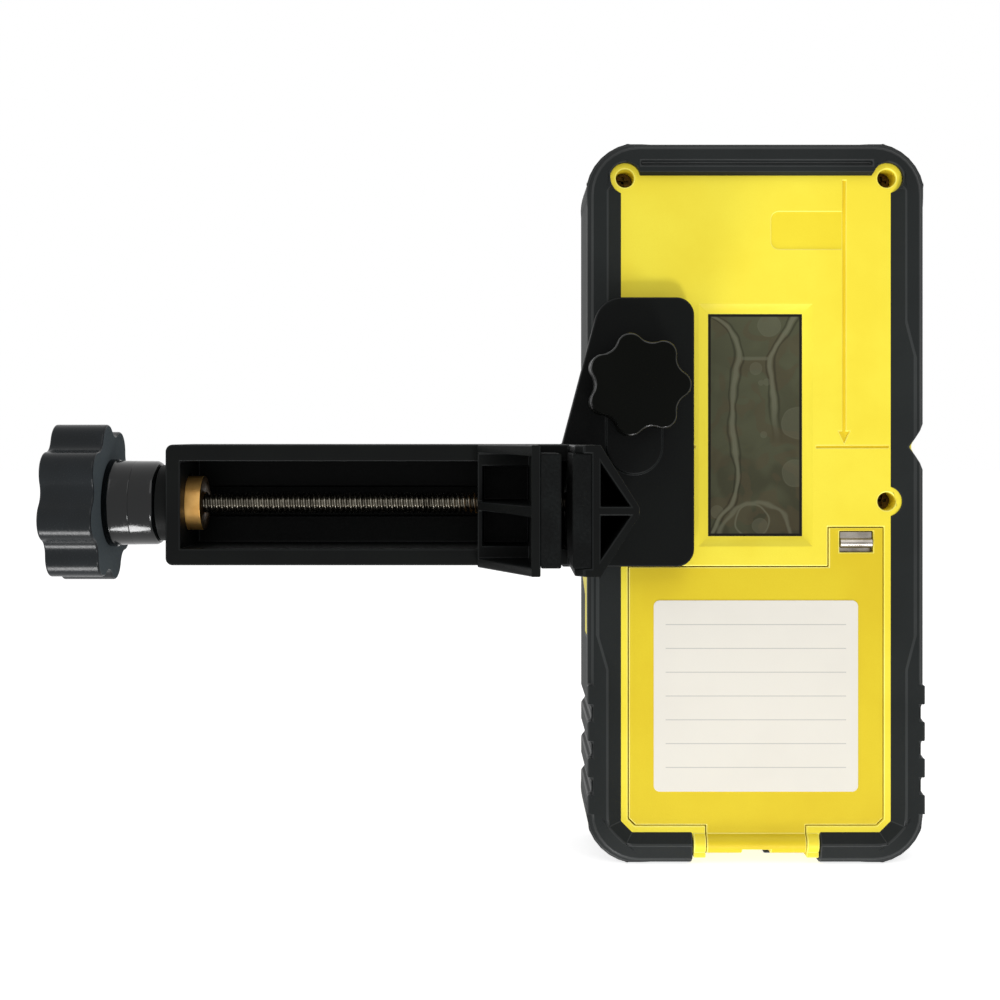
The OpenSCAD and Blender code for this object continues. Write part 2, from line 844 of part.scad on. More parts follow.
module rear_lens() {
    over = 1.4;
    color(lens_grey)
        at_receiver()
            along_y(lens_sink, lens_sink + lens_t)
                rect(-rear_view_w / 2 - over, rear_view_w / 2 + over,
                    -rear_view_down - over, rear_view_up + over);
}

module rear_display() {
    color("darkolivegreen")
        at_receiver()
            along_y(lens_sink + lens_t, lens_sink + lens_t + display_t)
                rect(-rear_view_w / 2, rear_view_w / 2, -rear_view_down, rear_view_up);
}

module front_lens() {
    fit = 0.05;
    color(lens_grey)
        at_receiver()
            along_y(front_y - lens_t, front_y - lens_set)
                rect(-front_view_w / 2 + fit, front_view_w / 2 - fit,
                    front_view_z - front_view_h / 2 + fit, front_view_z + front_view_h / 2 - fit);
}

module front_display() {
    edge = 1.5;
    color("darkolivegreen")
        at_receiver()
            along_y(board_y1, front_y - lens_t)
                rect(-front_view_w / 2 + edge, front_view_w / 2 - edge,
                    front_view_z - front_view_h / 2 + edge, front_view_z + front_view_h / 2 - edge);
}

module sensor_window() {
    fit = 0.05;
    color([0.3, 0.05, 0.06])
        at_receiver()
            along_y(front_y - lens_t, front_y - lens_set)
                rect(-sensor_w / 2 + fit, sensor_w / 2 - fit, -sensor_h / 2 + fit, sensor_h / 2 - fit);
}

// Narrow board that carries the light sensors, on two headers from the main board.
module sensor_board() {
    edge = 2;
    t = 1;
    lens_gap = 0.5;
    top_y = front_y - lens_t - lens_gap;
    header_h = 4;
    color(board_green)
        at_receiver() {
            along_y(top_y - t, top_y)
                rect(-sensor_w / 2 + edge, sensor_w / 2 - edge, -sensor_h / 2 + edge, sensor_h / 2 - edge);
            for (z = [-sensor_h / 2 + edge, sensor_h / 2 - edge - header_h])
                along_y(board_y1, top_y - t + eps)
                    rect(-sensor_w / 4, sensor_w / 4, z, z + header_h);
        }
}

module main_board() {
    color(board_green)
        at_receiver()
            along_y(board_y0, board_y1)
                rect(-board_half, board_half, buzzer_z - buzzer_r - 2, front_view_z + front_view_h / 2 + 1);
}

// Rubber sheet under the buttons, with a raised dome for each.
module keypad_mat() {
    dome_r = 2.5;
    color("gray")
        at_receiver() {
            along_y(board_y1, board_y1 + mat_t)
                round_rect(-1.5 * button_pitch - button_d / 2, 1.5 * button_pitch + button_d / 2,
                    button_z - button_d / 2 - 1, button_z + button_d / 2 + 1, 2);
            button_places()
                rod_y(0, 0, board_y1 + mat_t - eps, button_back() - button_travel - touch_gap, dome_r);
        }
}

module buzzer() {
    color("black")
        at_receiver()
            rod_y(0, buzzer_z, board_y1, front_in, buzzer_r);
}

module battery_cells() {
    cap_r = 2.75;
    cap_l = 1;
    color("silver")
        at_receiver()
            for (i = [-1 : 1]) {
                turn = i == 0 ? 1 : -1;
                rod_x(cell_y, bay_mid + i * cell_pitch, -cell_l / 2 + (turn < 0 ? cap_l : 0),
                    cell_l / 2 - (turn > 0 ? cap_l : 0), cell_d / 2);
                rod_x(cell_y, bay_mid + i * cell_pitch, turn > 0 ? 0 : -cell_l / 2,
                    turn > 0 ? cell_l / 2 : 0, cap_r);
            }
}

// Bent leaf contacts at both ends of each cell.
module battery_contacts() {
    half_h = 4.5;
    t = 0.4;
    bow = bay_half - cell_l / 2 - 2 * t;
    contact_half = 5;
    low = cell_y - contact_half;
    high = cell_y + contact_half;
    color(steel)
        at_receiver()
            both_sides()
                for (i = [-1 : 1])
                    along_z(bay_mid + i * cell_pitch - half_h, bay_mid + i * cell_pitch + half_h)
                        polygon([
                            [bay_half, low], [bay_half - t, low], [bay_half - t - bow, cell_y - 1],
                            [bay_half - t - bow, cell_y + 1], [bay_half - t, high], [bay_half, high],
                            [bay_half, high - t], [bay_half - bow, cell_y + 1 - t],
                            [bay_half - bow, cell_y - 1 + t], [bay_half, low + t]
                        ]);
}

module mount_insert() {
    color(brass)
        translate([stud_x, panel_y, stud_z])
            difference() {
                rod_y(0, 0, -boss_h, insert_l - boss_h, insert_r);
                rod_y(0, 0, -boss_h - cut, insert_l - boss_h + cut, stud_d / 2 + run_gap);
            }
}

module hinge_pin() {
    color(steel)
        at_receiver()
            rod_x(pin_y, pin_z, -hinge_half, hinge_half, pin_d / 2);
}

// Battery door and its latch

module battery_door() {
    color(yellow)
        at_receiver()
            difference() {
                union() {
                    along_y(0, door_t)
                        door_outline(0);
                    along_y(0, door_t)
                        rect(-tongue_w / 2, tongue_w / 2, pin_z, door_z0 + cut);
                    rod_x(pin_y, pin_z, -tongue_w / 2, tongue_w / 2, barrel_r);
                }
                rod_x(pin_y, pin_z, -tongue_w, tongue_w, pin_d / 2 + run_gap);
                along_y(-cut, door_t + cut)
                    rect(latch_x0, latch_x1, latch_z0, latch_z1);
                block([-pry_w / 2, -barrel_r, pin_z - barrel_r - cut],
                    [pry_w / 2, pin_y + barrel_r + cut, pin_z - barrel_r + pry_in]);
            }
}

// Ring on the door's inside that closes the mouth of the battery bay.
module door_seal() {
    gap = 0.3;
    width = 1.5;
    height = 1;
    color("dimgray")
        at_receiver()
            along_y(door_t, door_t + height)
                difference() {
                    rect(-bay_half + gap, bay_half - gap, bay_z0 + gap, bay_z1 - gap);
                    rect(-bay_half + gap + width, bay_half - gap - width,
                        bay_z0 + gap + width, bay_z1 - gap - width);
                }
}

module info_label() {
    t = 0.12;
    corner_r = 1.5;
    color("white")
        at_receiver()
            along_y(-t, 0)
                round_rect(-door_w / 2 + label_side, door_w / 2 - label_side,
                    door_z0 + label_end, door_z1 - label_end, corner_r);
}

// Rolled spring clip: the roll shows in the window, and a flange behind the door keeps it there.
module door_latch() {
    x0 = latch_x0 + latch_gap;
    x1 = latch_x1 - latch_gap;
    top = latch_z1 - latch_gap;
    low = top - latch_h;
    roll_y = latch_roll - latch_strip;
    back = door_t + touch_gap;
    lip = 1.2;
    color(steel)
        at_receiver() {
            rod_x(roll_y, low + latch_roll, x0, x1, latch_roll);
            block([x0, roll_y, low + latch_roll], [x1, roll_y + latch_strip, top]);
            block([x0, roll_y, top - latch_strip], [x1, back + latch_strip, top]);
            block([x0 - lip, back, low - lip], [x1 + lip, back + latch_strip, top]);
        }
}

// Front buttons

function button_back() = front_in - touch_gap - button_flange;

module button(i) {
    flange_over = 0.8;
    crown = 0.5;
    color("dimgray")
        at_receiver()
            translate([(i - 1.5) * button_pitch, 0, button_z]) {
                rod_y(0, 0, button_back(), button_back() + button_flange,
                    button_d / 2 + button_gap + flange_over);
                rod_y(0, 0, button_back(), front_y + button_stand - crown, button_d / 2);
                translate([0, front_y + button_stand - crown, 0])
                    rotate([-90, 0, 0])
                        cylinder(h = crown, r1 = button_d / 2, r2 = button_d / 2 - crown);
            }
}

module power_button() {
    button(0);
}

module light_button() {
    button(1);
}

module sound_button() {
    button(2);
}

module range_button() {
    button(3);
}

// Rod clamp, fixed half

// Mounting plate: square at the channel, leaning on its left, round at its three free corners.
module plate_outline() {
    corner_r = 4.4;
    lean_r = 7;
    plate_back = 6.45;
    left = jaw_back - plate_back;
    right = jaw_back + plate_reach;
    lean_z = plate_top - lean_r;
    lean_x = left + (lean_z - channel_half) * tan(plate_lean) + lean_r / cos(plate_lean);
    polygon([
        [left, -plate_bottom], [right - corner_r, -plate_bottom], [right, -plate_bottom + corner_r],
        [right, plate_top - corner_r], [right - corner_r, plate_top], [lean_x, plate_top],
        [lean_x - lean_r * cos(plate_lean), lean_z + lean_r * sin(plate_lean)], [left, channel_half]
    ]);
    for (z = [-plate_bottom + corner_r, plate_top - corner_r])
        translate([right - corner_r, z])
            circle(corner_r);
    translate([lean_x, lean_z])
        circle(lean_r);
}

// Plan of the fixed jaw's stiffener: two leaning walls that meet at a nose, and a middle rib.
module jaw_stiffener() {
    reach = 8.45;
    nose = 0.8;
    side = rib_t / cos(atan2(channel_half - nose, reach));
    left = jaw_back - eps;
    difference() {
        polygon([[left, -channel_half], [left + reach, -nose], [left + reach, nose], [left, channel_half]]);
        difference() {
            polygon([[left - cut, -channel_half + side + cut], [left - cut, channel_half - side - cut],
                [left, channel_half - side], [left + reach - rib_t, rib_t / 2],
                [left + reach - rib_t, -rib_t / 2], [left, -channel_half + side]]);
            rect(left - 2 * cut, left + reach, -rib_t / 2, rib_t / 2);
        }
    }
}

module clamp_bracket() {
    cheek_sink = 0.4;
    cheek_chamfer = 2;
    boss_l = 14.9;
    slot_ends = 3;
    trough_half = 3.65;
    trough_d = 1.2;
    color(black)
        difference() {
            union() {
                along_y(rim_y, back_y)
                    round_rect(channel_end, jaw_back, -channel_half, channel_half, 1.7);
                along_y(plate_y0, plate_y1)
                    plate_outline();
                along_y(plate_y0 - boss_rise, plate_y0 + eps) {
                    rect(stud_x - boss_r, stud_x + boss_r, stud_z - boss_l, stud_z);
                    for (z = [stud_z - boss_l, stud_z])
                        translate([stud_x, z])
                            circle(boss_r);
                }
                along_x(pad_t, jaw_back)
                    rect(-jaw_reach, back_y - cut, -channel_half, channel_half);
                for (z = [-channel_half, pad_half])
                    along_z(z, z + channel_half - pad_half)
                        polygon([
                            [cheek_sink + cheek_chamfer, -jaw_reach], [jaw_back, -jaw_reach], [jaw_back, rim_y],
                            [cheek_sink, rim_y], [cheek_sink, -jaw_reach + cheek_chamfer]
                        ]);
                along_y(-jaw_reach, plate_y0 + eps)
                    jaw_stiffener();
                rod_y(peg_x, peg_z, plate_y1 - cut, panel_y + peg_in, peg_r);
            }
            along_x(channel_x0, 0)
                rect(rim_y - cut, floor_y, -inner_half, inner_half);
            block([channel_x0 + slot_ends, floor_y - cut, -slot_w / 2], [-slot_ends, back_y + cut, slot_w / 2]);
            block([channel_x0 + slot_ends, floor_y - cut, -trough_half],
                [-slot_ends, floor_y + trough_d, trough_half]);
            rod_x(screw_y, 0, channel_end - cut, channel_x0 + cut, screw_d / 2 + run_gap);
            rod_x(screw_y, 0, channel_x0 - collar_in, channel_x0 + cut, collar_d / 2 + collar_gap);
            rod_x(screw_y, 0, -cut, pad_t, screw_d / 2 + run_gap);
            rod_y(stud_x, stud_z, plate_y0 - boss_rise - cut, plate_y1 + cut, stud_d / 2 + run_gap);
        }
}

module fixed_jaw_pad() {
    color("dimgray")
        block([0, -jaw_reach, -pad_half], [pad_t, jaw_reach, pad_half]);
}

module thrust_washer() {
    color(black)
        difference() {
            rod_x(screw_y, 0, washer_x0, channel_end, washer_d / 2);
            rod_x(screw_y, 0, washer_x0 - cut, channel_end + cut, screw_d / 2 + run_gap);
        }
}

// Clamp screw

module clamp_knob() {
    lobe_r = 5;
    color([0.05, 0.05, 0.05])
        difference() {
            union() {
                translate([0, screw_y, 0])
                    along_x(knob_x0, hub_x0 + eps)
                        rotate(knob_turn)
                            lobed(knob_r, knob_valley, knob_lobes, lobe_r);
                rod_x(screw_y, 0, hub_x0, hub_x0 + hub_l, hub_d / 2);
            }
            rod_x(screw_y, 0, hub_x0 + hub_l - socket_l, hub_x0 + hub_l + cut, screw_d / 2);
        }
}

module lead_screw() {
    end_gap = 0.2;
    color(steel)
        rod_x(screw_y, 0, hub_x0 + hub_l - socket_l, pad_t - end_gap, screw_d / 2);
}

module thrust_collar() {
    x0 = channel_x0 - collar_in + touch_gap;
    color(brass)
        difference() {
            rod_x(screw_y, 0, x0, x0 + collar_l, collar_d / 2);
            rod_x(screw_y, 0, x0 - cut, x0 + collar_l + cut, screw_d / 2);
        }
}

// Sliding jaw

module keeper_screw_places() {
    for (x = [slider_x0 + slider_l * 0.3, slider_x1 - slider_l * 0.3])
        translate([x, 0, 0])
            children();
}

module sliding_jaw() {
    thread_room = 0.3;
    tip_h = 1;
    jaw_front = slider_x1 - jaw_t;
    end_lip = 1.2;
    cell_wall = 0.8;
    cell_floor = 1.5;
    cell_half = (inner_half - slide_gap - cell_wall - rib_t / 2) / 2;
    color(black)
        difference() {
            union() {
                block([slider_x0, saddle_y - cut, -inner_half + slide_gap],
                    [slider_x1, floor_y - slide_gap, inner_half - slide_gap]);
                block([slider_x0, saddle_y - saddle_t, -channel_half], [slider_x1, saddle_y, channel_half]);
                block([jaw_front, -jaw_reach, -channel_half], [slider_x1, saddle_y - cut, channel_half]);
                for (z = [-channel_half, -rib_t / 2, channel_half - rib_t])
                    along_z(z, z + rib_t)
                        polygon([[jaw_front + eps, -jaw_reach], [jaw_front + eps, saddle_y - cut],
                            [slider_x0, saddle_y - cut], [slider_x0, saddle_y - saddle_t - tip_h]]);
                block([slider_x0 + keeper_in, floor_y - cut, -slot_w / 2 + slide_gap],
                    [slider_x1 - keeper_in, keeper_y, slot_w / 2 - slide_gap]);
            }
            for (side = [-1, 1])
                translate([0, 0, side * (rib_t / 2 + cell_half)])
                    block([slider_x0 + end_lip, -jaw_reach, -cell_half],
                        [jaw_front, screw_y - nut_half - cell_floor, cell_half]);
            rod_x(screw_y, 0, slider_x0 - cut, slider_x1 + cut, screw_d / 2 + thread_room);
            block([slider_x0 - cut, screw_y - nut_half, -nut_half],
                [slider_x0 + nut_l, screw_y + nut_half, nut_half]);
            keeper_screw_places()
                rod_y(0, 0, floor_y, keeper_y + cut, keeper_screw_r);
        }
}

module sliding_jaw_pad() {
    color("dimgray")
        block([slider_x1, -jaw_reach, -pad_half], [slider_x1 + slide_pad_t, jaw_reach - slide_gap, pad_half]);
}

module jaw_nut() {
    color(brass)
        difference() {
            block([slider_x0, screw_y - nut_half, -nut_half],
                [slider_x0 + nut_l, screw_y + nut_half, nut_half]);
            rod_x(screw_y, 0, slider_x0 - cut, slider_x0 + nut_l + cut, screw_d / 2 + run_gap);
        }
}

module jaw_keeper() {
    overlap = 2.5;
    half = slot_w / 2 + overlap;
    color(steel)
        difference() {
            block([slider_x0 + keeper_in, keeper_y, -half], [slider_x1 - keeper_in, keeper_y + keeper_t, half]);
            keeper_screw_places()
                rod_y(0, 0, keeper_y - cut, keeper_y + keeper_t + cut, keeper_screw_r);
        }
}

module keeper_screws() {
    head_r = 2;
    head_t = 1.3;
    tip_gap = 0.2;
    color(steel)
        keeper_screw_places() {
            rod_y(0, 0, floor_y + tip_gap, keeper_y + keeper_t + eps, keeper_screw_r);
            rod_y(0, 0, keeper_y + keeper_t, keeper_y + keeper_t + head_t, head_r);
        }
}

// Mounting knob

module knob_washer() {
    washer_in = 0.2;
    color(steel)
        difference() {
            rod_y(stud_x, stud_z, washer_y0, washer_y1, neck_r - washer_in);
            rod_y(stud_x, stud_z, washer_y0 - cut, washer_y1 + cut, stud_d / 2 + run_gap);
        }
}

module mounting_knob() {
    lobe_r = 3.2;
    color([0.12, 0.13, 0.13])
        difference() {
            union() {
                translate([stud_x, 0, stud_z])
                    along_y(head_y0, head_y1)
                        lobed(thumb_r, thumb_valley, thumb_lobes, lobe_r);
                rod_y(stud_x, stud_z, head_y1 - eps, neck_y1, neck_r);
            }
            rod_y(stud_x, stud_z, neck_y1 - stud_socket, neck_y1 + cut, stud_d / 2);
        }
}

module mounting_stud() {
    tip_gap = 0.5;
    color(steel)
        rod_y(stud_x, stud_z, neck_y1 - stud_socket, plate_y1 + insert_l - tip_gap, stud_d / 2);
}

rear_case();
front_case();
bumper();
case_seal();
case_screws();
rear_lens();
rear_display();
front_lens();
front_display();
sensor_window();
sensor_board();
main_board();
keypad_mat();
buzzer();
battery_cells();
battery_contacts();
mount_insert();
hinge_pin();
battery_door();
door_seal();
info_label();
door_latch();
power_button();
light_button();
sound_button();
range_button();
clamp_bracket();
fixed_jaw_pad();
thrust_washer();
clamp_knob();
lead_screw();
thrust_collar();
sliding_jaw();
sliding_jaw_pad();
jaw_nut();
jaw_keeper();
keeper_screws();
knob_washer();
mounting_knob();
mounting_stud();
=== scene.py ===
"""Laser receiver with its rod clamp: the looks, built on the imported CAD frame.

Lengths in the classes are in millimetres, unless they are said to be in metres, and turn into metres where
meshes and materials are made.
"""

import logging
import math
from collections.abc import Sequence
from dataclasses import dataclass, field
from enum import Enum
from typing import ClassVar

import bmesh
import bpy
from mathutils import Matrix, Vector
from mathutils.geometry import area_tri, delaunay_2d_cdt

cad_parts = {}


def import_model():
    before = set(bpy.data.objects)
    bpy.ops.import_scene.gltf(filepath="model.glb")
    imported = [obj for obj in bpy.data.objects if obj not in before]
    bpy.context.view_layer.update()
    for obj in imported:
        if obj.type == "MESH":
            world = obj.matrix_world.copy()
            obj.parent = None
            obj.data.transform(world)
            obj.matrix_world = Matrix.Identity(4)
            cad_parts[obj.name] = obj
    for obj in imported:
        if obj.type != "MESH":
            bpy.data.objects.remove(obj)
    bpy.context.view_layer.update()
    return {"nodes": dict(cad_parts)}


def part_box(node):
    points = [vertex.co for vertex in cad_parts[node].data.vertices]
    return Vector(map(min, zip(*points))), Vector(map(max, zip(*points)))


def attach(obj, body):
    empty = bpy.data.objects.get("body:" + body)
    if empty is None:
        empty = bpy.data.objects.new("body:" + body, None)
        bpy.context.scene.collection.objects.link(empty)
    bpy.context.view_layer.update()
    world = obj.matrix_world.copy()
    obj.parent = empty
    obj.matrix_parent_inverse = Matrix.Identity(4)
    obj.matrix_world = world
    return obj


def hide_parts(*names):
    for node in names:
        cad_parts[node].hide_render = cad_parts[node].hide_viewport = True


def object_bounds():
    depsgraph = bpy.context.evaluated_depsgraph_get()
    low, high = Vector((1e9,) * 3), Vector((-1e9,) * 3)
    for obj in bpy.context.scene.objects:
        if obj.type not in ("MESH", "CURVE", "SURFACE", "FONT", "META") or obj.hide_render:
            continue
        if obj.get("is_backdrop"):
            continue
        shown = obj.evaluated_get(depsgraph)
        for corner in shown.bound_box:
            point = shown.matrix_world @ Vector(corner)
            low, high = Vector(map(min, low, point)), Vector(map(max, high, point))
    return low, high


LOG = logging.getLogger("laser_receiver")
MM = 0.001

Rgb = tuple[int, int, int]
Colour = tuple[float, float, float, float]
Ramp = tuple[float, ...]
Point = tuple[float, float]
Place = tuple[float, float, float]
Corners = tuple[Point, Point]
Wire = bpy.types.NodeSocket


class Axis(Enum):
    """Direction that a turned piece points along, or that faces are compared with."""

    X = "x"
    Y = "y"


def srgb(colour: Rgb) -> Colour:
    """Turns a colour read from a picture into the linear colour that shaders take.

    Args:
        colour: Red, green and blue from 0 to 255.

    Returns:
        Linear red, green, blue and an alpha of one.
    """
    shares = [channel / 255 for channel in colour]
    linear = [s / 12.92 if s <= 0.04045 else ((s + 0.055) / 1.055) ** 2.4 for s in shares]
    return (linear[0], linear[1], linear[2], 1.0)


def placed(name: str, data: bpy.types.ID) -> bpy.types.Object:
    """Adds an object to the scene.

    Args:
        name: Name of the object.
        data: Mesh, lamp or camera that it shows.

    Returns:
        The new object.
    """
    made = bpy.data.objects.new(name, data)
    bpy.context.scene.collection.objects.link(made)
    return made


def baked(holder: bpy.types.Object) -> bpy.types.Mesh:
    """Returns the mesh that an object's modifiers give."""
    graph = bpy.context.evaluated_depsgraph_get()
    return bpy.data.meshes.new_from_object(holder.evaluated_get(graph))


class Wiring:
    """A node tree that is wired step by step."""

    def __init__(self, tree: bpy.types.NodeTree) -> None:
        """Keeps the tree's nodes and links at hand."""
        self.nodes = tree.nodes
        self.links = tree.links

    def feed(self, socket: Wire, value: object) -> None:
        """Links an output to an input, or sets the input's own value."""
        if isinstance(value, bpy.types.NodeSocket):
            self.links.new(value, socket)
        else:
            socket.default_value = value

    def feed_all(self, node: bpy.types.Node, inputs: dict[str, object]) -> None:
        """Feeds inputs of a node, named with underscores for spaces."""
        for name, value in inputs.items():
            self.feed(node.inputs[name.replace("_", " ")], value)

    def node(self, kind: str, **inputs: object) -> bpy.types.Node:
        """Adds a node and feeds its inputs, named with underscores for spaces."""
        made = self.nodes.new(kind)
        self.feed_all(made, inputs)
        return made

    def maths(self, operation: str, first: object, second: object = 0.0) -> Wire:
        """One arithmetic step."""
        made = self.nodes.new("ShaderNodeMath")
        made.operation = operation
        self.feed(made.inputs[0], first)
        self.feed(made.inputs[1], second)
        return made.outputs[0]

    def plus(self, first: object, second: object) -> Wire:
        """Sum of two numbers."""
        return self.maths("ADD", first, second)

    def minus(self, first: object, second: object) -> Wire:
        """First number less the second."""
        return self.maths("SUBTRACT", first, second)

    def times(self, first: object, second: object) -> Wire:
        """Product of two numbers."""
        return self.maths("MULTIPLY", first, second)

    def over(self, first: object, second: object) -> Wire:
        """First number divided by the second."""
        return self.maths("DIVIDE", first, second)

    def least(self, first: object, second: object) -> Wire:
        """Smaller of two numbers."""
        return self.maths("MINIMUM", first, second)

    def most(self, first: object, second: object) -> Wire:
        """Greater of two numbers."""
        return self.maths("MAXIMUM", first, second)


class ShaderGraph(Wiring):
    """A material whose Principled shader is wired step by step on Object coordinates.

    Attributes:
        mix_inputs: Inputs of a mix node that take the share and the two colours.
        mix_output: Output of a mix node that gives the colour.
    """

    mix_inputs: ClassVar[tuple[int, int, int]] = (0, 6, 7)
    mix_output: ClassVar[int] = 2

    def __init__(self, name: str) -> None:
        """Starts a material with an unlinked Principled shader."""
        self.material = bpy.data.materials.new(name)
        self.material.use_nodes = True
        super().__init__(self.material.node_tree)
        self.nodes.clear()
        output = self.node("ShaderNodeOutputMaterial")
        self.shader = self.node("ShaderNodeBsdfPrincipled")
        self.links.new(self.shader.outputs[0], output.inputs[0])
        self.place: Wire = self.node("ShaderNodeTexCoord").outputs["Object"]

    def set(self, **values: object) -> None:
        """Feeds inputs of the shader, named with underscores for spaces."""
        self.feed_all(self.shader, values)

    def stretch(self, scale: Place) -> Wire:
        """Object coordinates scaled along each axis."""
        return self.node("ShaderNodeMapping", Vector=self.place, Scale=scale).outputs[0]

    def noise(self, size_mm: float, detail: float, warp: float = 0.0, place: Wire | None = None) -> Wire:
        """Soft noise from 0 to 1 whose blotches are about the given size."""
        node = self.node("ShaderNodeTexNoise", Scale=1.0 / (size_mm * MM), Detail=detail, Distortion=warp)
        self.links.new(place or self.place, node.inputs["Vector"])
        return node.outputs["Fac"]

    def cells(self, size_mm: float) -> Wire:
        """Distance to the borders of scattered cells of about the given size."""
        node = self.node("ShaderNodeTexVoronoi", Vector=self.place, Scale=1.0 / (size_mm * MM))
        node.feature = "DISTANCE_TO_EDGE"
        return node.outputs["Distance"]

    def span(self, value: Wire, low: float, high: float, start: float = 0.0, end: float = 1.0) -> Wire:
        """Maps low to high of a value smoothly onto start to end, held at both ends."""
        ends = {"From_Min": low, "From_Max": high, "To_Min": start, "To_Max": end}
        node = self.node("ShaderNodeMapRange", Value=value, **ends)
        node.interpolation_type = "SMOOTHSTEP"
        return node.outputs[0]

    def band(self, value: Wire, rise: float, full: float, fall: float, end: float, peak: float = 1.0) -> Wire:
        """Rises to a peak from one number to the next and falls back between the last two."""
        return self.times(self.span(value, rise, full), self.span(value, fall, end, peak, 0.0))

    def mix(self, share: object, first: object, second: object) -> Wire:
        """Colour between two colours."""
        node = self.nodes.new("ShaderNodeMix")
        node.data_type = "RGBA"
        for index, value in zip(self.mix_inputs, (share, first, second)):
            self.feed(node.inputs[index], value)
        return node.outputs[self.mix_output]

    def bump(self, height: Wire, depth_mm: float) -> Wire:
        """Normal of a surface raised by a height from 0 to 1."""
        return self.node("ShaderNodeBump", Strength=1.0, Distance=depth_mm * MM, Height=height).outputs[0]

    def flat_place(self) -> tuple[Wire, Wire]:
        """Object coordinates across and up, in metres."""
        node = self.node("ShaderNodeSeparateXYZ", Vector=self.place)
        return node.outputs["X"], node.outputs["Z"]

    def inset(self, x: Wire, z: Wire, low: Point, high: Point) -> Wire:
        """How far inside a box, seen along Y, a spot lies from the nearest side.

        Args:
            x: Place across, in metres.
            z: Place up, in metres.
            low: Lower left corner of the box, in metres.
            high: Upper right corner of the box, in metres.

        Returns:
            Distance in metres.
        """
        across = self.least(self.minus(x, low[0]), self.minus(high[0], x))
        up = self.least(self.minus(z, low[1]), self.minus(high[1], z))
        return self.least(across, up)


@dataclass(frozen=True)
class MouldedFinish:
    """Moulded plastic or rubber with a spark-eroded grain and slow colour drift."""

    name: str
    colour: Rgb
    drift: Rgb
    roughness: float
    specular: float = 0.4
    grain_mm: float = 0.28
    grain_depth: float = 0.02
    drift_mm: float = 22.0
    speckle: float = 0.25
    drift_ramp: ClassVar[Ramp] = (0.3, 0.7)
    speckle_ramp: ClassVar[Ramp] = (0.35, 0.7)
    gloss_ramp: ClassVar[Ramp] = (0.2, 0.8)
    gloss_spread: ClassVar[float] = 0.07

    def build(self) -> bpy.types.Material:
        """Wires the finish and returns its material."""
        graph = ShaderGraph(self.name)
        drift = srgb(self.drift)
        spread = (self.roughness - self.gloss_spread, self.roughness + self.gloss_spread)
        grain = graph.noise(self.grain_mm, 3.0)
        slow = graph.span(graph.noise(self.drift_mm, 4.0), *self.drift_ramp)
        base = graph.mix(slow, srgb(self.colour), drift)
        fine = graph.times(graph.span(grain, *self.speckle_ramp), self.speckle)
        graph.set(
            Base_Color=graph.mix(fine, base, drift),
            Roughness=graph.span(grain, *self.gloss_ramp, *spread),
            Specular_IOR_Level=self.specular,
            Normal=graph.bump(grain, self.grain_depth),
        )
        return graph.material


@dataclass(frozen=True)
class MetalFinish:
    """Turned or drawn metal with fine lines along one direction and faint tarnish."""

    name: str
    colour: Rgb
    tarnish: Rgb
    roughness: float
    lines: Place = (1.0, 1.0, 1.0)
    line_mm: float = 0.12
    line_depth: float = 0.006
    metallic: float = 1.0
    patch_mm: ClassVar[float] = 4.0
    patch_ramp: ClassVar[Ramp] = (0.35, 0.75)
    gloss_ramp: ClassVar[Ramp] = (0.25, 0.75)
    gloss_spread: ClassVar[Point] = (0.08, 0.1)

    def build(self) -> bpy.types.Material:
        """Wires the finish and returns its material."""
        graph = ShaderGraph(self.name)
        spread = (self.roughness - self.gloss_spread[0], self.roughness + self.gloss_spread[1])
        lines = graph.noise(self.line_mm, 2.0, place=graph.stretch(self.lines))
        patches = graph.span(graph.noise(self.patch_mm, 4.0), *self.patch_ramp)
        graph.set(
            Base_Color=graph.mix(patches, srgb(self.colour), srgb(self.tarnish)),
            Metallic=self.metallic,
            Roughness=graph.span(lines, *self.gloss_ramp, *spread),
            Normal=graph.bump(lines, self.line_depth),
        )
        return graph.material


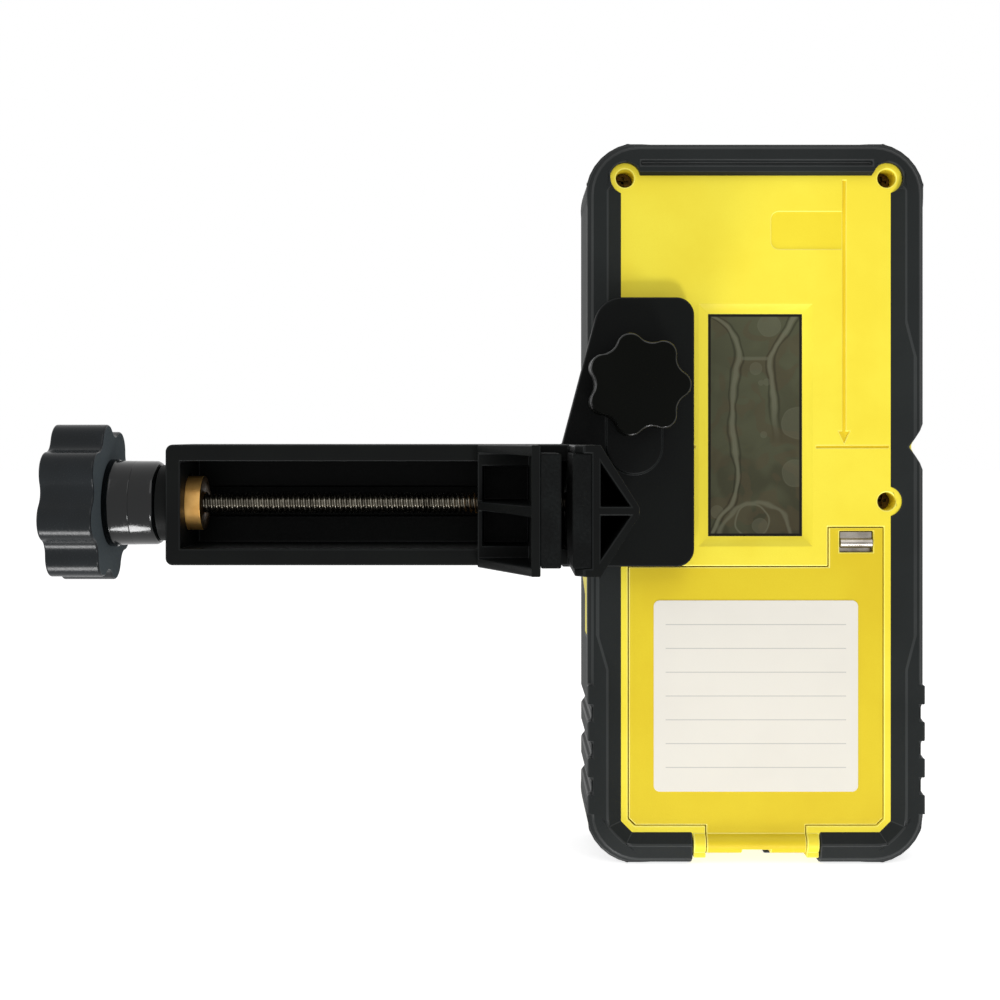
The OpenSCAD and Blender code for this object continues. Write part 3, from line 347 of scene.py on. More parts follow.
@dataclass(frozen=True)
class FilmedWindowFinish:
    """Dark display window under a protective film with creases and trapped air, and painted shade along its
    rim.

    Creases run from the bottom to the top of the window: each point is a share of the height and a share of
    the width. Each crease comes in between two shares of the height. The link between them has a height, a
    left end and a right end, as shares. Bubbles and arches are places across and up from the window's middle,
    with radii. The window's lower left and upper right corners, low and high, are in metres.
    """

    name: str
    top: Rgb
    bottom: Rgb
    film: Rgb
    warm: Rgb
    # edge: dark colour of the film's folds, also painted as shade in a band along the window's rim.
    edge: Rgb
    low: Point
    high: Point
    rim_shade_mm: float = 0.5
    creases: tuple[tuple[Point, ...], ...] = (
        (
            (0.0, 0.02), (0.073, 0.109), (0.195, 0.296), (0.537, 0.253), (0.744, 0.287), (0.811, 0.325),
            (1.0, 0.01),
        ),
        ((0.0, 0.9), (0.476, 0.727), (0.659, 0.698), (0.79, 0.665), (0.82, 0.68), (0.9, 0.8), (1.0, 0.94)),
    )
    fades: tuple[Point, ...] = ((-0.2, -0.1), (0.4, 0.62))
    link: Place = (0.803, 0.34, 0.67)
    bubbles: tuple[Place, ...] = (
        (0.2, 14.3, 1.6), (1.5, 10.7, 0.7), (3.0, 10.9, 0.9), (10.8, 0.5, 4.2), (10.1, -12.1, 3.5),
        (3.6, 25.2, 3.0), (-9.6, -22.0, 1.7), (2.2, -2.4, 0.9), (1.2, -25.5, 2.0),
    )
    arches: tuple[Place, ...] = ((0.3, -28.6, 9.4), (-0.8, -24.2, 4.4))
    sway_mm: ClassVar[float] = 5.0
    sway_share: ClassVar[float] = 0.05
    bend_share: ClassVar[float] = 6.0
    width_mm: ClassVar[float] = 9.0
    width_ramp: ClassVar[Ramp] = (0.3, 0.7, 0.7, 1.4)
    link_ramp: ClassVar[Ramp] = (0.003, 0.012, 0.6, 0.0)
    crease_ramp: ClassVar[Ramp] = (0.01, 0.032, 0.85, 0.0)
    fold_band: ClassVar[Ramp] = (0.028, 0.036, 0.04, 0.056)
    bubble_ramp: ClassVar[Ramp] = (0.94, 1.0, 0.34, 0.0)
    bubble_band: ClassVar[Ramp] = (0.86, 0.93, 0.95, 1.02, 0.45)
    arch_band: ClassVar[Ramp] = (0.88, 0.95, 0.97, 1.05, 0.7)
    pool_noise: ClassVar[Ramp] = (11.0, 1.5, 0.8)
    pool_ramp: ClassVar[Ramp] = (0.38, 0.62, 0.0, 0.35)
    warm_noise: ClassVar[Ramp] = (8.0, 0.6, 1.6)
    warm_ramp: ClassVar[Ramp] = (0.5, 0.56, 0.0, 0.4)
    rise_share: ClassVar[float] = 0.75
    fold_share: ClassVar[float] = 0.45
    film_share: ClassVar[float] = 0.6
    rim_shade_start: ClassVar[float] = 0.6
    gloss: ClassVar[Point] = (0.16, 0.3)
    specular: ClassVar[float] = 0.12
    film_depth: ClassVar[float] = 0.02

    def crease(self, graph: ShaderGraph, across: Wire, up: Wire, points: tuple[Point, ...]) -> Wire:
        """How far a spot is from one crease that follows a curve from the bottom to the top.

        Args:
            graph: Graph to add to.
            across: Share of the window's width.
            up: Share of the window's height.
            points: Points of the curve.

        Returns:
            Distance across as a share of the window's width.
        """
        node = graph.node("ShaderNodeFloatCurve", Value=up)
        mapping = node.mapping
        mapping.use_clip = False
        curve = mapping.curves[0]
        curve.points[0].location = points[0]
        curve.points[-1].location = points[-1]
        for point in points[1:-1]:
            curve.points.new(*point)
        mapping.update()
        return graph.maths("ABSOLUTE", graph.minus(across, node.outputs[0]))

    def reach(self, graph: ShaderGraph, x: Wire, z: Wire, bend: Wire, ring: Place) -> Wire:
        """How far a spot is from the middle of a bubble or an arch.

        Args:
            graph: Graph to add to.
            x: Place across, in metres.
            z: Place up, in metres.
            bend: Unevenness to add.
            ring: Place across and up from the window's middle and radius, in millimetres.

        Returns:
            Distance as a share of the radius.
        """
        right_mm, up_mm, radius_mm = ring
        dx = graph.minus(x, (self.low[0] + self.high[0]) / 2 + right_mm * MM)
        dz = graph.minus(z, (self.low[1] + self.high[1]) / 2 + up_mm * MM)
        square = graph.plus(graph.times(dx, dx), graph.times(dz, dz))
        return graph.plus(graph.over(graph.maths("SQRT", square), radius_mm * MM), bend)

    def veins(self, graph: ShaderGraph, across: Wire, up: Wire, sway: Wire) -> tuple[Wire, Wire]:
        """Masks of the creases with the short link between them, and of the folds beside them.

        Args:
            graph: Graph to add to.
            across: Share of the window's width.
            up: Share of the window's height.
            sway: Unevenness of the creases, as a share of the window's width.

        Returns:
            Share of the film that shows and share of the dark folds.
        """
        height, left, right = self.link
        veil = graph.span(graph.maths("ABSOLUTE", graph.minus(up, height)), *self.link_ramp)
        for operation, end in (("GREATER_THAN", left), ("LESS_THAN", right)):
            veil = graph.times(veil, graph.maths(operation, across, end))
        swayed = graph.plus(across, sway)
        width = graph.span(graph.noise(self.width_mm, 1.0), *self.width_ramp)
        fold: Wire | float = 0.0
        for points, fade in zip(self.creases, self.fades):
            off = graph.over(self.crease(graph, swayed, up, points), width)
            kept = graph.span(up, *fade)
            veil = graph.most(veil, graph.times(graph.span(off, *self.crease_ramp), kept))
            fold = graph.most(fold, graph.times(graph.band(off, *self.fold_band), kept))
        return veil, fold

    def build(self) -> bpy.types.Material:
        """Wires the finish and returns its material."""
        graph = ShaderGraph(self.name)
        x, z = graph.flat_place()
        across = graph.over(graph.minus(x, self.low[0]), self.high[0] - self.low[0])
        up = graph.over(graph.minus(z, self.low[1]), self.high[1] - self.low[1])
        sway = graph.times(graph.minus(graph.noise(self.sway_mm, 1.0), 0.5), self.sway_share)
        veil, fold = self.veins(graph, across, up, sway)
        bend = graph.times(sway, self.bend_share)
        for bubble in self.bubbles:
            away = self.reach(graph, x, z, bend, bubble)
            veil = graph.most(veil, graph.span(away, *self.bubble_ramp))
            veil = graph.most(veil, graph.band(away, *self.bubble_band))
        for arch in self.arches:
            veil = graph.most(veil, graph.band(self.reach(graph, x, z, bend, arch), *self.arch_band))
        pool = graph.span(graph.noise(*self.pool_noise), *self.pool_ramp)
        depth = graph.plus(graph.times(up, self.rise_share), pool)
        warm = graph.span(graph.noise(*self.warm_noise), *self.warm_ramp)
        glass = graph.mix(warm, graph.mix(depth, srgb(self.bottom), srgb(self.top)), srgb(self.warm))
        glass = graph.mix(graph.times(fold, self.fold_share), glass, srgb(self.edge))
        filmed = graph.mix(graph.times(veil, self.film_share), glass, srgb(self.film))
        # Painted shade: the window darkens to the edge colour in a band along its rim.
        edge = self.rim_shade_mm * MM
        inset = graph.inset(x, z, self.low, self.high)
        rim_shade_share = graph.span(inset, edge * self.rim_shade_start, edge, 1.0, 0.0)
        graph.set(
            Base_Color=graph.mix(rim_shade_share, filmed, srgb(self.edge)),
            Roughness=graph.span(veil, 0.0, 1.0, *self.gloss),
            Specular_IOR_Level=self.specular,
            Normal=graph.bump(veil, self.film_depth),
        )
        return graph.material


@dataclass(frozen=True)
class LabelFinish:
    """White label stock with empty ruled lines inside its margin.

    The label's lower left and upper right corners, low and high, are in metres.
    """

    name: str
    paper: Rgb
    ink: Rgb
    low: Point
    high: Point
    rule_mm: float = 6.0
    margin_mm: float = 3.0
    line_mm: float = 0.22
    stain: ClassVar[Rgb] = (205, 200, 192)
    stain_mm: ClassVar[float] = 18.0
    stain_ramp: ClassVar[Ramp] = (0.4, 0.8, 0.0, 0.12)
    fibre_mm: ClassVar[float] = 0.25
    fibre_depth: ClassVar[float] = 0.006
    gloss_ramp: ClassVar[Ramp] = (0.2, 0.8, 0.42, 0.56)
    ink_share: ClassVar[float] = 0.55

    def build(self) -> bpy.types.Material:
        """Wires the finish and returns its material."""
        graph = ShaderGraph(self.name)
        x, z = graph.flat_place()
        inside = graph.maths("GREATER_THAN", graph.inset(x, z, self.low, self.high), self.margin_mm * MM)
        steps = graph.maths("FRACT", graph.over(graph.minus(z, self.low[1]), self.rule_mm * MM))
        lines = graph.times(graph.maths("LESS_THAN", steps, self.line_mm / self.rule_mm), inside)
        fibre = graph.noise(self.fibre_mm, 3.0)
        stained = graph.span(graph.noise(self.stain_mm, 3.0), *self.stain_ramp)
        paper = graph.mix(stained, srgb(self.paper), srgb(self.stain))
        graph.set(
            Base_Color=graph.mix(graph.times(lines, self.ink_share), paper, srgb(self.ink)),
            Roughness=graph.span(fibre, *self.gloss_ramp),
            Normal=graph.bump(fibre, self.fibre_depth),
        )
        return graph.material


@dataclass(frozen=True)
class BoardFinish:
    """Green circuit board with etched tracks under the lacquer."""

    name: str
    lacquer: Rgb
    track: Rgb
    cell_mm: ClassVar[float] = 2.4
    track_ramp: ClassVar[Ramp] = (0.04, 0.09, 1.0, 0.0)
    gloss: ClassVar[Point] = (0.32, 0.4)
    track_depth: ClassVar[float] = 0.03

    def build(self) -> bpy.types.Material:
        """Wires the finish and returns its material."""
        graph = ShaderGraph(self.name)
        tracks = graph.span(graph.cells(self.cell_mm), *self.track_ramp)
        graph.set(
            Base_Color=graph.mix(tracks, srgb(self.lacquer), srgb(self.track)),
            Roughness=graph.span(tracks, 0.0, 1.0, *self.gloss),
            Normal=graph.bump(tracks, self.track_depth),
        )
        return graph.material


@dataclass
class Finishes:
    """Every finish of the object, built once and looked up by plain names."""

    made: dict[str, bpy.types.Material] = field(default_factory=dict)

    def build(self, label: Corners, window: Corners) -> None:
        """Builds all materials.

        Args:
            label: Lower left and upper right of the label, across and up, in metres.
            window: Lower left and upper right of the rear window, across and up, in metres.
        """
        finishes = [
            MouldedFinish("case_yellow", (247, 230, 66), (241, 220, 54), 0.5, 0.3, 0.32, 0.016),
            # The *_edge finishes are lighter and glossier than their base: they paint a highlight along the
            # rounded edges.
            MouldedFinish("case_yellow_edge", (255, 247, 128), (251, 237, 96), 0.42, 0.4, 0.4, 0.008),
            # The door's yellow is darker than the case's: painted shade of the receiver's lower part. Its
            # edge finish is a painted highlight.
            MouldedFinish("door_yellow", (226, 202, 34), (220, 193, 26), 0.5, 0.3, 0.32, 0.016),
            MouldedFinish("door_yellow_edge", (255, 246, 140), (248, 232, 96), 0.42, 0.4, 0.4, 0.008),
            # Darker yellows for the floors of the mark's pad and lines: painted shade in the recesses.
            MouldedFinish("pad_yellow_painted_shade", (242, 221, 50), (236, 212, 40), 0.5, 0.3, 0.32, 0.016),
            MouldedFinish("line_yellow_painted_shade", (238, 210, 34), (231, 201, 26), 0.5, 0.3, 0.32, 0.016),
            MouldedFinish("bumper_rubber", (31, 34, 34), (26, 29, 29), 0.6, 0.13, 0.22, 0.02),
            MouldedFinish("bumper_rubber_edge", (46, 49, 49), (37, 39, 39), 0.45, 0.22, 0.3, 0.01),
            MouldedFinish("clamp_black", (13, 15, 14), (9, 10, 10), 0.5, 0.07, 0.3, 0.02),
            MouldedFinish("clamp_black_edge", (21, 23, 23), (15, 17, 17), 0.42, 0.12, 0.3, 0.01),
            MouldedFinish("pad_rubber", (20, 22, 22), (13, 14, 14), 0.85, 0.08, 0.7, 0.14, 6.0, 0.6),
            MouldedFinish("knob_gloss", (27, 31, 34), (23, 26, 28), 0.24, 0.16, 0.5, 0.006, 14.0, 0.1),
            # Matte grey with no specular on the knob's flat faces: a painted sheen in place of the glossy
            # black's reflection.
            MouldedFinish("knob_face_painted_sheen", (80, 88, 92), (72, 79, 83), 0.7, 0.02, 0.5, 0.006),
            MouldedFinish("hub_gloss", (5, 7, 8), (4, 5, 6), 0.13, 0.36, 0.5, 0.002, 14.0, 0.1),
            MouldedFinish("knob_satin", (7, 8, 6), (5, 6, 4), 0.3, 0.045, 0.35, 0.012),
            MouldedFinish("knob_satin_edge", (16, 17, 16), (12, 13, 12), 0.2, 0.4, 0.4, 0.004),
            # Dark brown for the latch's lower faces: painted shade of the pocket below the roll.
            MouldedFinish("latch_gap", (20, 16, 12), (12, 10, 8), 0.7, 0.05),
            MouldedFinish("button_rubber", (58, 60, 62), (48, 50, 52), 0.66, 0.25, 0.2, 0.02),
            MouldedFinish("button_rubber_edge", (80, 83, 85), (64, 67, 69), 0.55, 0.35, 0.2, 0.01),
            MouldedFinish("seal_rubber", (30, 31, 32), (24, 25, 26), 0.75, 0.2, 0.3, 0.02),
            MouldedFinish("buzzer_black", (18, 18, 19), (12, 12, 13), 0.5, 0.3),
            MouldedFinish("sensor_red", (62, 8, 12), (44, 5, 9), 0.16, 0.5, 0.8, 0.003, 9.0, 0.1),
            MouldedFinish("display_glass", (112, 118, 98), (96, 103, 84), 0.25, 0.4, 0.5, 0.004),
            MouldedFinish("front_window", (74, 79, 70), (60, 64, 57), 0.14, 0.5, 0.9, 0.003, 12.0, 0.1),
            MouldedFinish("cell_wrap", (196, 198, 200), (178, 181, 184), 0.3, 0.5, 0.6, 0.006),
            MetalFinish("screw_steel", (124, 120, 110), (85, 81, 73), 0.26, (1.0, 1.0, 1.0), 0.1, 0.004),
            MetalFinish("fastener_steel", (190, 190, 190), (140, 138, 135), 0.3),
            MetalFinish("screw_brown", (92, 70, 34), (60, 44, 20), 0.5),
            MetalFinish("latch_steel", (160, 154, 146), (126, 120, 113), 0.28, (0.05, 1.0, 1.0), 0.1, 0.004),
            MetalFinish("nickel_strip", (205, 202, 194), (165, 160, 150), 0.3, (0.1, 1.0, 1.0)),
            MetalFinish("brass", (232, 182, 104), (206, 154, 78), 0.36, (12.0, 0.5, 0.5), 0.2, 0.006, 0.55),
            # Dark brown on the collar's flat ends: painted shade inside the channel.
            MetalFinish("brass_painted_shade", (74, 54, 26), (52, 38, 18), 0.5, (1.0, 0.5, 0.5), 0.2, 0.006),
            FilmedWindowFinish(
                "display_window",
                (80, 82, 62),
                (54, 53, 38),
                (110, 110, 92),
                (76, 66, 48),
                # Dark colour of the folds and of the painted shade along the rim.
                (20, 19, 13),
                *window,
            ),
            LabelFinish("label_white", (228, 224, 214), (150, 150, 150), *label),
            BoardFinish("circuit_board", (20, 82, 44), (46, 120, 70)),
        ]
        for finish in finishes:
            self.made[finish.name] = finish.build()
            LOG.info("finish %s", finish.name)

    def get(self, name: str) -> bpy.types.Material:
        """Returns a finish by name."""
        return self.made[name]

    def pair(self, name: str) -> list[bpy.types.Material]:
        """Returns a finish and the lighter finish of its rounded edges, which paints a highlight along them.
        """
        return [self.made[name], self.made.get(name + "_edge", self.made[name])]


class Workshop:
    """Attributes:
        same_spot: Corners of a CAD node closer than this many metres are one.
        flat_deg: Faces that meet at less than this many degrees are joined.
        flat_cosine: Least cosine between the faces of one flat region.
        seat_gap: Corners closer than this many metres to a seat's plane lie on it.
        full_width: Width of a flat region, in radii, that has room for the whole rounding.
        least_width: Share of that width below which an edge isn't rounded.
        least_share: Least share of the rounding that a shallow wall keeps.
        end_share: Share of the room at its ends that an edge's rounding takes.
        acute_deg: Corners under this many degrees limit the rounding by their shorter side.
        blunt_deg: Corners over this many degrees don't limit the rounding.
        shading_weight: Weight of the large faces when the shading is evened.
        tile_gap: Corners closer than this many millimetres are one when a face is cut.
        tile_area: Tiles up to this many square millimetres are left out.
    """

    same_spot: ClassVar[float] = 2e-6
    flat_deg: ClassVar[float] = 0.2
    flat_cosine: ClassVar[float] = 0.99998
    seat_gap: ClassVar[float] = 1e-5
    full_width: ClassVar[float] = 2.4
    least_width: ClassVar[float] = 0.2
    least_share: ClassVar[float] = 0.35
    end_share: ClassVar[float] = 0.8
    acute_deg: ClassVar[float] = 60.0
    blunt_deg: ClassVar[float] = 150.0
    shading_weight: ClassVar[int] = 60
    tile_gap: ClassVar[float] = 1e-5
    tile_area: ClassVar[float] = 1e-4

    def __init__(self, nodes: dict[str, bpy.types.Object], finishes: Finishes) -> None:
        """Keeps the frame's nodes and the finishes at hand."""
        self.nodes = nodes
        self.finishes = finishes

    def piece(
        self,
        name: str,
        mesh: bpy.types.Mesh,
        body: str,
        slot: str,
        looks: Sequence[bpy.types.Material],
        *stands_for: str,
    ) -> bpy.types.Object:
        """Adds a finished mesh as a piece of the object.

        Args:
            name: Name of the piece.
            mesh: Mesh in the frame's own place, in metres.
            body: Body that the piece moves with.
            slot: Material slot of the record; not used.
            looks: Materials in the order of the mesh's material indices.
            stands_for: CAD nodes that it replaces.

        Returns:
            The new object.
        """
        if not mesh.materials:
            for look in looks:
                mesh.materials.append(look)
        made = placed(name, mesh)
        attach(made, body)
        if stands_for:
            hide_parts(*stands_for)
        LOG.info("piece %s: %d faces on %s", name, len(mesh.polygons), body)
        return made

    def settle(self, mesh: bpy.types.Mesh, radius_mm: float = 0.0, segments: int = 2) -> bpy.types.Mesh:
        """Rounds the marked edges of a mesh and evens its shading.

        Args:
            mesh: Mesh whose edges to round carry a bevel weight.
            radius_mm: Width of the rounding, or zero for none.
            segments: Steps across the rounding.

        Returns:
            A plain mesh with no modifier behind it.
        """
        holder = placed("settling", mesh)
        if radius_mm:
            bevel = holder.modifiers.new("edges", "BEVEL")
            bevel.limit_method = "WEIGHT"
            bevel.offset_type = "OFFSET"
            bevel.width = radius_mm * MM
            bevel.segments = segments
            bevel.use_clamp_overlap = False
            # The rounded faces take the second finish, a painted edge highlight.
            bevel.material = 1
            holder.data = baked(holder)
            holder.modifiers.clear()
            self.retile(holder.data)
        for polygon in holder.data.polygons:
            polygon.use_smooth = True
        even = holder.modifiers.new("shading", "WEIGHTED_NORMAL")
        even.keep_sharp = True
        even.weight = self.shading_weight
        made = baked(holder)
        bpy.data.objects.remove(holder)
        return made

    @staticmethod
    def covers(outline: Sequence[Vector], spot: Vector) -> bool:
        """Tells whether a spot is inside a flat outline, by counting the sides to its right."""
        inside = False
        for start, end in zip(outline, [*outline[1:], outline[0]]):
            if (start.y > spot.y) != (end.y > spot.y):
                share = (spot.y - start.y) / (end.y - start.y)
                if spot.x < start.x + share * (end.x - start.x):
                    inside = not inside
        return inside

    @classmethod
    def retile(cls, mesh: bpy.types.Mesh) -> None:
        """Cuts the flat faces with many corners into even triangles.

        Args:
            mesh: Mesh to change in place.
        """
        work = bmesh.new()
        work.from_mesh(mesh)
        wide = [face for face in work.faces if len(face.verts) > 4]
        for face in wide:
            lay = face.normal.to_track_quat("Z", "Y").to_matrix()
            corners = list(face.verts)
            spots = [lay.transposed() @ (vert.co / MM) for vert in corners]
            outline = [spot.to_2d() for spot in spots]
            sides = [(index, (index + 1) % len(outline)) for index in range(len(outline))]
            places, _, tiles, origins, *_ = delaunay_2d_cdt(outline, sides, [], 0, cls.tile_gap)
            height = sum(spot.z for spot in spots) / len(spots)
            verts = []
            for place, origin in zip(places, origins):
                if origin:
                    verts.append(corners[origin[0]])
                else:
                    verts.append(work.verts.new(lay @ Vector((place.x, place.y, height)) * MM))
            for tile in tiles:
                tri = [verts[index] for index in tile]
                if len(set(tri)) < 3 or work.faces.get(tri) is not None:
                    continue
                first, second, third = (places[index] for index in tile)
                middle = (first + second + third) / 3
                if area_tri(first, second, third) > cls.tile_area and cls.covers(outline, middle):
                    work.faces.new(tri).material_index = face.material_index
        bmesh.ops.delete(work, geom=wide, context="FACES_ONLY")
        bare = [edge for edge in work.edges if not edge.link_faces]
        bmesh.ops.delete(work, geom=bare, context="EDGES")
        work.to_mesh(mesh)
        work.free()

    def soften(
        self,
        node: str,
        name: str,
        body: str,
        slot: str,
        radius_mm: float,
        segments: int = 2,
        angle: float = 30.0,
        finish: str = "",
        seat_y: float | None = None,
        room_mm: float = 0.0,
        crease: float = 30.0,
    ) -> bpy.types.Object:
        """Copies a CAD node with its hard edges rounded, and shows the copy in its stead.

        Args:
            node: CAD node to copy.
            name: Name of the new piece.
            body: Body that it moves with.
            slot: Material slot of the record.
            radius_mm: Width of the rounding.
            segments: Steps across the rounding.
            angle: Edges sharper than this many degrees are rounded.
            finish: Finish to wear, or empty for the slot's own.
            seat_y: Plane that the piece lies on another with, in millimetres, whose edges stay sharp.
            room_mm: Walls shallower than this are rounded less.
            crease: Edges sharper than this many degrees that aren't rounded stay sharp in the shading.

        Returns:
            The new piece.
        """
        work = bmesh.new()
        work.from_mesh(self.nodes[node].data)
        bmesh.ops.remove_doubles(work, verts=work.verts, dist=self.same_spot)
        limit = math.radians(self.flat_deg)
        bmesh.ops.dissolve_limit(work, angle_limit=limit, verts=work.verts, edges=work.edges)
        self.mark_edges(work, radius_mm, angle, seat_y, room_mm)
        self.mark_creases(work, crease)
        mesh = bpy.data.meshes.new(name)
        work.to_mesh(mesh)
        work.free()
        looks = self.finishes.pair(finish or slot)
        for look in looks:
            mesh.materials.append(look)
        for polygon in mesh.polygons:
            polygon.material_index = 0
        made = self.settle(mesh, radius_mm, segments)
        return self.piece(name, made, body, slot, looks, node)

    @classmethod
    def flat_regions(cls, work: bmesh.types.BMesh) -> dict[int, list[Vector]]:
        """Finds the corners of the flat region that each face belongs to.

        Args:
            work: Mesh of merged triangles.

        Returns:
            Corners of the region, by the index of the face.
        """
        regions: dict[int, list[Vector]] = {}
        for first in work.faces:
            if first.index in regions:
                continue
            corners: dict[int, Vector] = {}
            members, waiting = {first.index}, [first]
            while waiting:
                face = waiting.pop()
                corners.update({vert.index: vert.co for vert in face.verts})
                for edge in face.edges:
                    for other in edge.link_faces:
                        level = other.normal.dot(first.normal) > cls.flat_cosine
                        if level and other.index not in members:
                            members.add(other.index)
                            waiting.append(other)
            spots = list(corners.values())
            regions.update({index: spots for index in members})
        return regions

    @classmethod
    def mark_edges(
        cls, work: bmesh.types.BMesh, radius_mm: float, angle: float, seat_y: float | None, room_mm: float
    ) -> None:
        """Gives a bevel weight to the sharp edges, less where their flat regions are narrow.

        Args:
            work: Mesh whose coplanar triangles are already joined.
            radius_mm: Width of the rounding.
            angle: Edges sharper than this many degrees are rounded.
            seat_y: Plane whose edges stay sharp, or none.
            room_mm: Walls shallower than this are rounded less.
        """
        work.normal_update()
        for items in (work.verts, work.edges, work.faces):
            items.index_update()
        regions = cls.flat_regions(work)
        layer = work.edges.layers.float.new("bevel_weight_edge")
        radius = radius_mm * MM
        tight = cls.full_width * radius
        room = max(tight, room_mm * MM)
        for edge in work.edges:
            if len(edge.link_faces) != 2 or edge.calc_face_angle(0.0) < math.radians(angle):
                continue
            if seat_y is not None and all(abs(vert.co.y - seat_y * MM) < cls.seat_gap for vert in edge.verts):
                continue
            start = edge.verts[0].co
            along = (edge.verts[1].co - start).normalized()
            reaches = []
            for face in edge.link_faces:
                offsets = [spot - start for spot in regions[face.index]]
                reaches.append(max((offset - along * offset.dot(along)).length for offset in offsets))
            reach = min(reaches)
            if reach > cls.least_width * tight:
                share = min(1.0, reach / tight, max(cls.least_share, reach / room))
                edge[layer] = min(share, cls.end_share * cls.side_room(edge) / radius)

    @classmethod
    def side_room(cls, edge: bmesh.types.BMEdge) -> float:
        """Measures how far an edge's rounding can run along the edges at its ends.

        Args:
            edge: Edge between two faces.

        Returns:
            Least reach, square to the edge, of the edges that leave its ends within its faces.
        """
        room = math.inf
        for face in edge.link_faces:
            for vert in edge.verts:
                along = edge.other_vert(vert).co - vert.co
                for side in face.edges:
                    if side is edge or vert not in side.verts:
                        continue
                    way = side.other_vert(vert).co - vert.co
                    lean = math.degrees(along.angle(way, math.pi))
                    if lean < cls.acute_deg:
                        shorter = min(way.length, along.length)
                        room = min(room, shorter * math.tan(math.radians(lean / 2)))
                    elif lean < cls.blunt_deg:
                        room = min(room, way.length * math.sin(math.radians(lean)))
        return room

    @staticmethod
    def mark_creases(work: bmesh.types.BMesh, crease: float) -> None:
        """Keeps the edges that aren't rounded sharp in the shading.

        Args:
            work: Mesh with its bevel weights.
            crease: Least angle of such an edge in degrees.
        """
        layer = work.edges.layers.float["bevel_weight_edge"]
        for edge in work.edges:
            if not edge[layer] and edge.calc_face_angle(0.0) > math.radians(crease):
                edge.smooth = False

    def second_look(
        self, mesh: bpy.types.Mesh, finish: str, axis: Axis, low: float, high: float = math.inf
    ) -> None:
        """Gives the faces that lean by a share between two numbers towards an axis another finish.

        Args:
            mesh: Mesh to change in place.
            finish: Finish that those faces wear.
            axis: Direction to compare the faces' normals with.
            low: Least share.
            high: Greatest share, or none.
        """
        mesh.materials.append(self.finishes.get(finish))
        for polygon in mesh.polygons:
            lean = abs(polygon.normal.x if axis is Axis.X else polygon.normal.y)
            if low < lean < high:
                polygon.material_index = len(mesh.materials) - 1

    def paint(self, node: str, finish: str) -> None:
        """Gives a CAD node that keeps its own shape one of the finishes."""
        data = self.nodes[node].data
        data.materials.clear()
        data.materials.append(self.finishes.get(finish))
        LOG.info("node %s in %s", node, finish)

    @staticmethod
    def turned(profile: Sequence[Point], axis: Axis, centre: Place, steps: int) -> bpy.types.Mesh:
        """Turns a profile about an axis into a closed mesh.

        Args:
            profile: Places along the axis and radii, in millimetres, from one end to the other.
            axis: Direction of the axis.
            centre: Point on the axis that the profile's zero sits at, in millimetres.
            steps: Facets round the axis.

        Returns:
            The mesh, in metres.
        """
        work = bmesh.new()
        rings = []
        for along, radius in profile:
            ring = []
            for step in range(steps if radius > 0 else 1):
                turn = 2 * math.pi * step / steps
                across = (radius * math.cos(turn), radius * math.sin(turn))
                if axis is Axis.X:
                    spot = Vector((along, across[0], across[1]))
                else:
                    spot = Vector((across[0], along, across[1]))
                ring.append(work.verts.new((spot + Vector(centre)) * MM))
            rings.append(ring)
        for low, high in zip(rings, rings[1:]):
            for step in range(steps):
                corners = [low[step % len(low)], low[(step + 1) % len(low)]]
                corners += [high[(step + 1) % len(high)], high[step % len(high)]]
                distinct = list(dict.fromkeys(corners))
                if len(distinct) > 2:
                    work.faces.new(distinct)
        bmesh.ops.recalc_face_normals(work, faces=work.faces)
        mesh = bpy.data.meshes.new("turned")
        work.to_mesh(mesh)
        work.free()
        return mesh


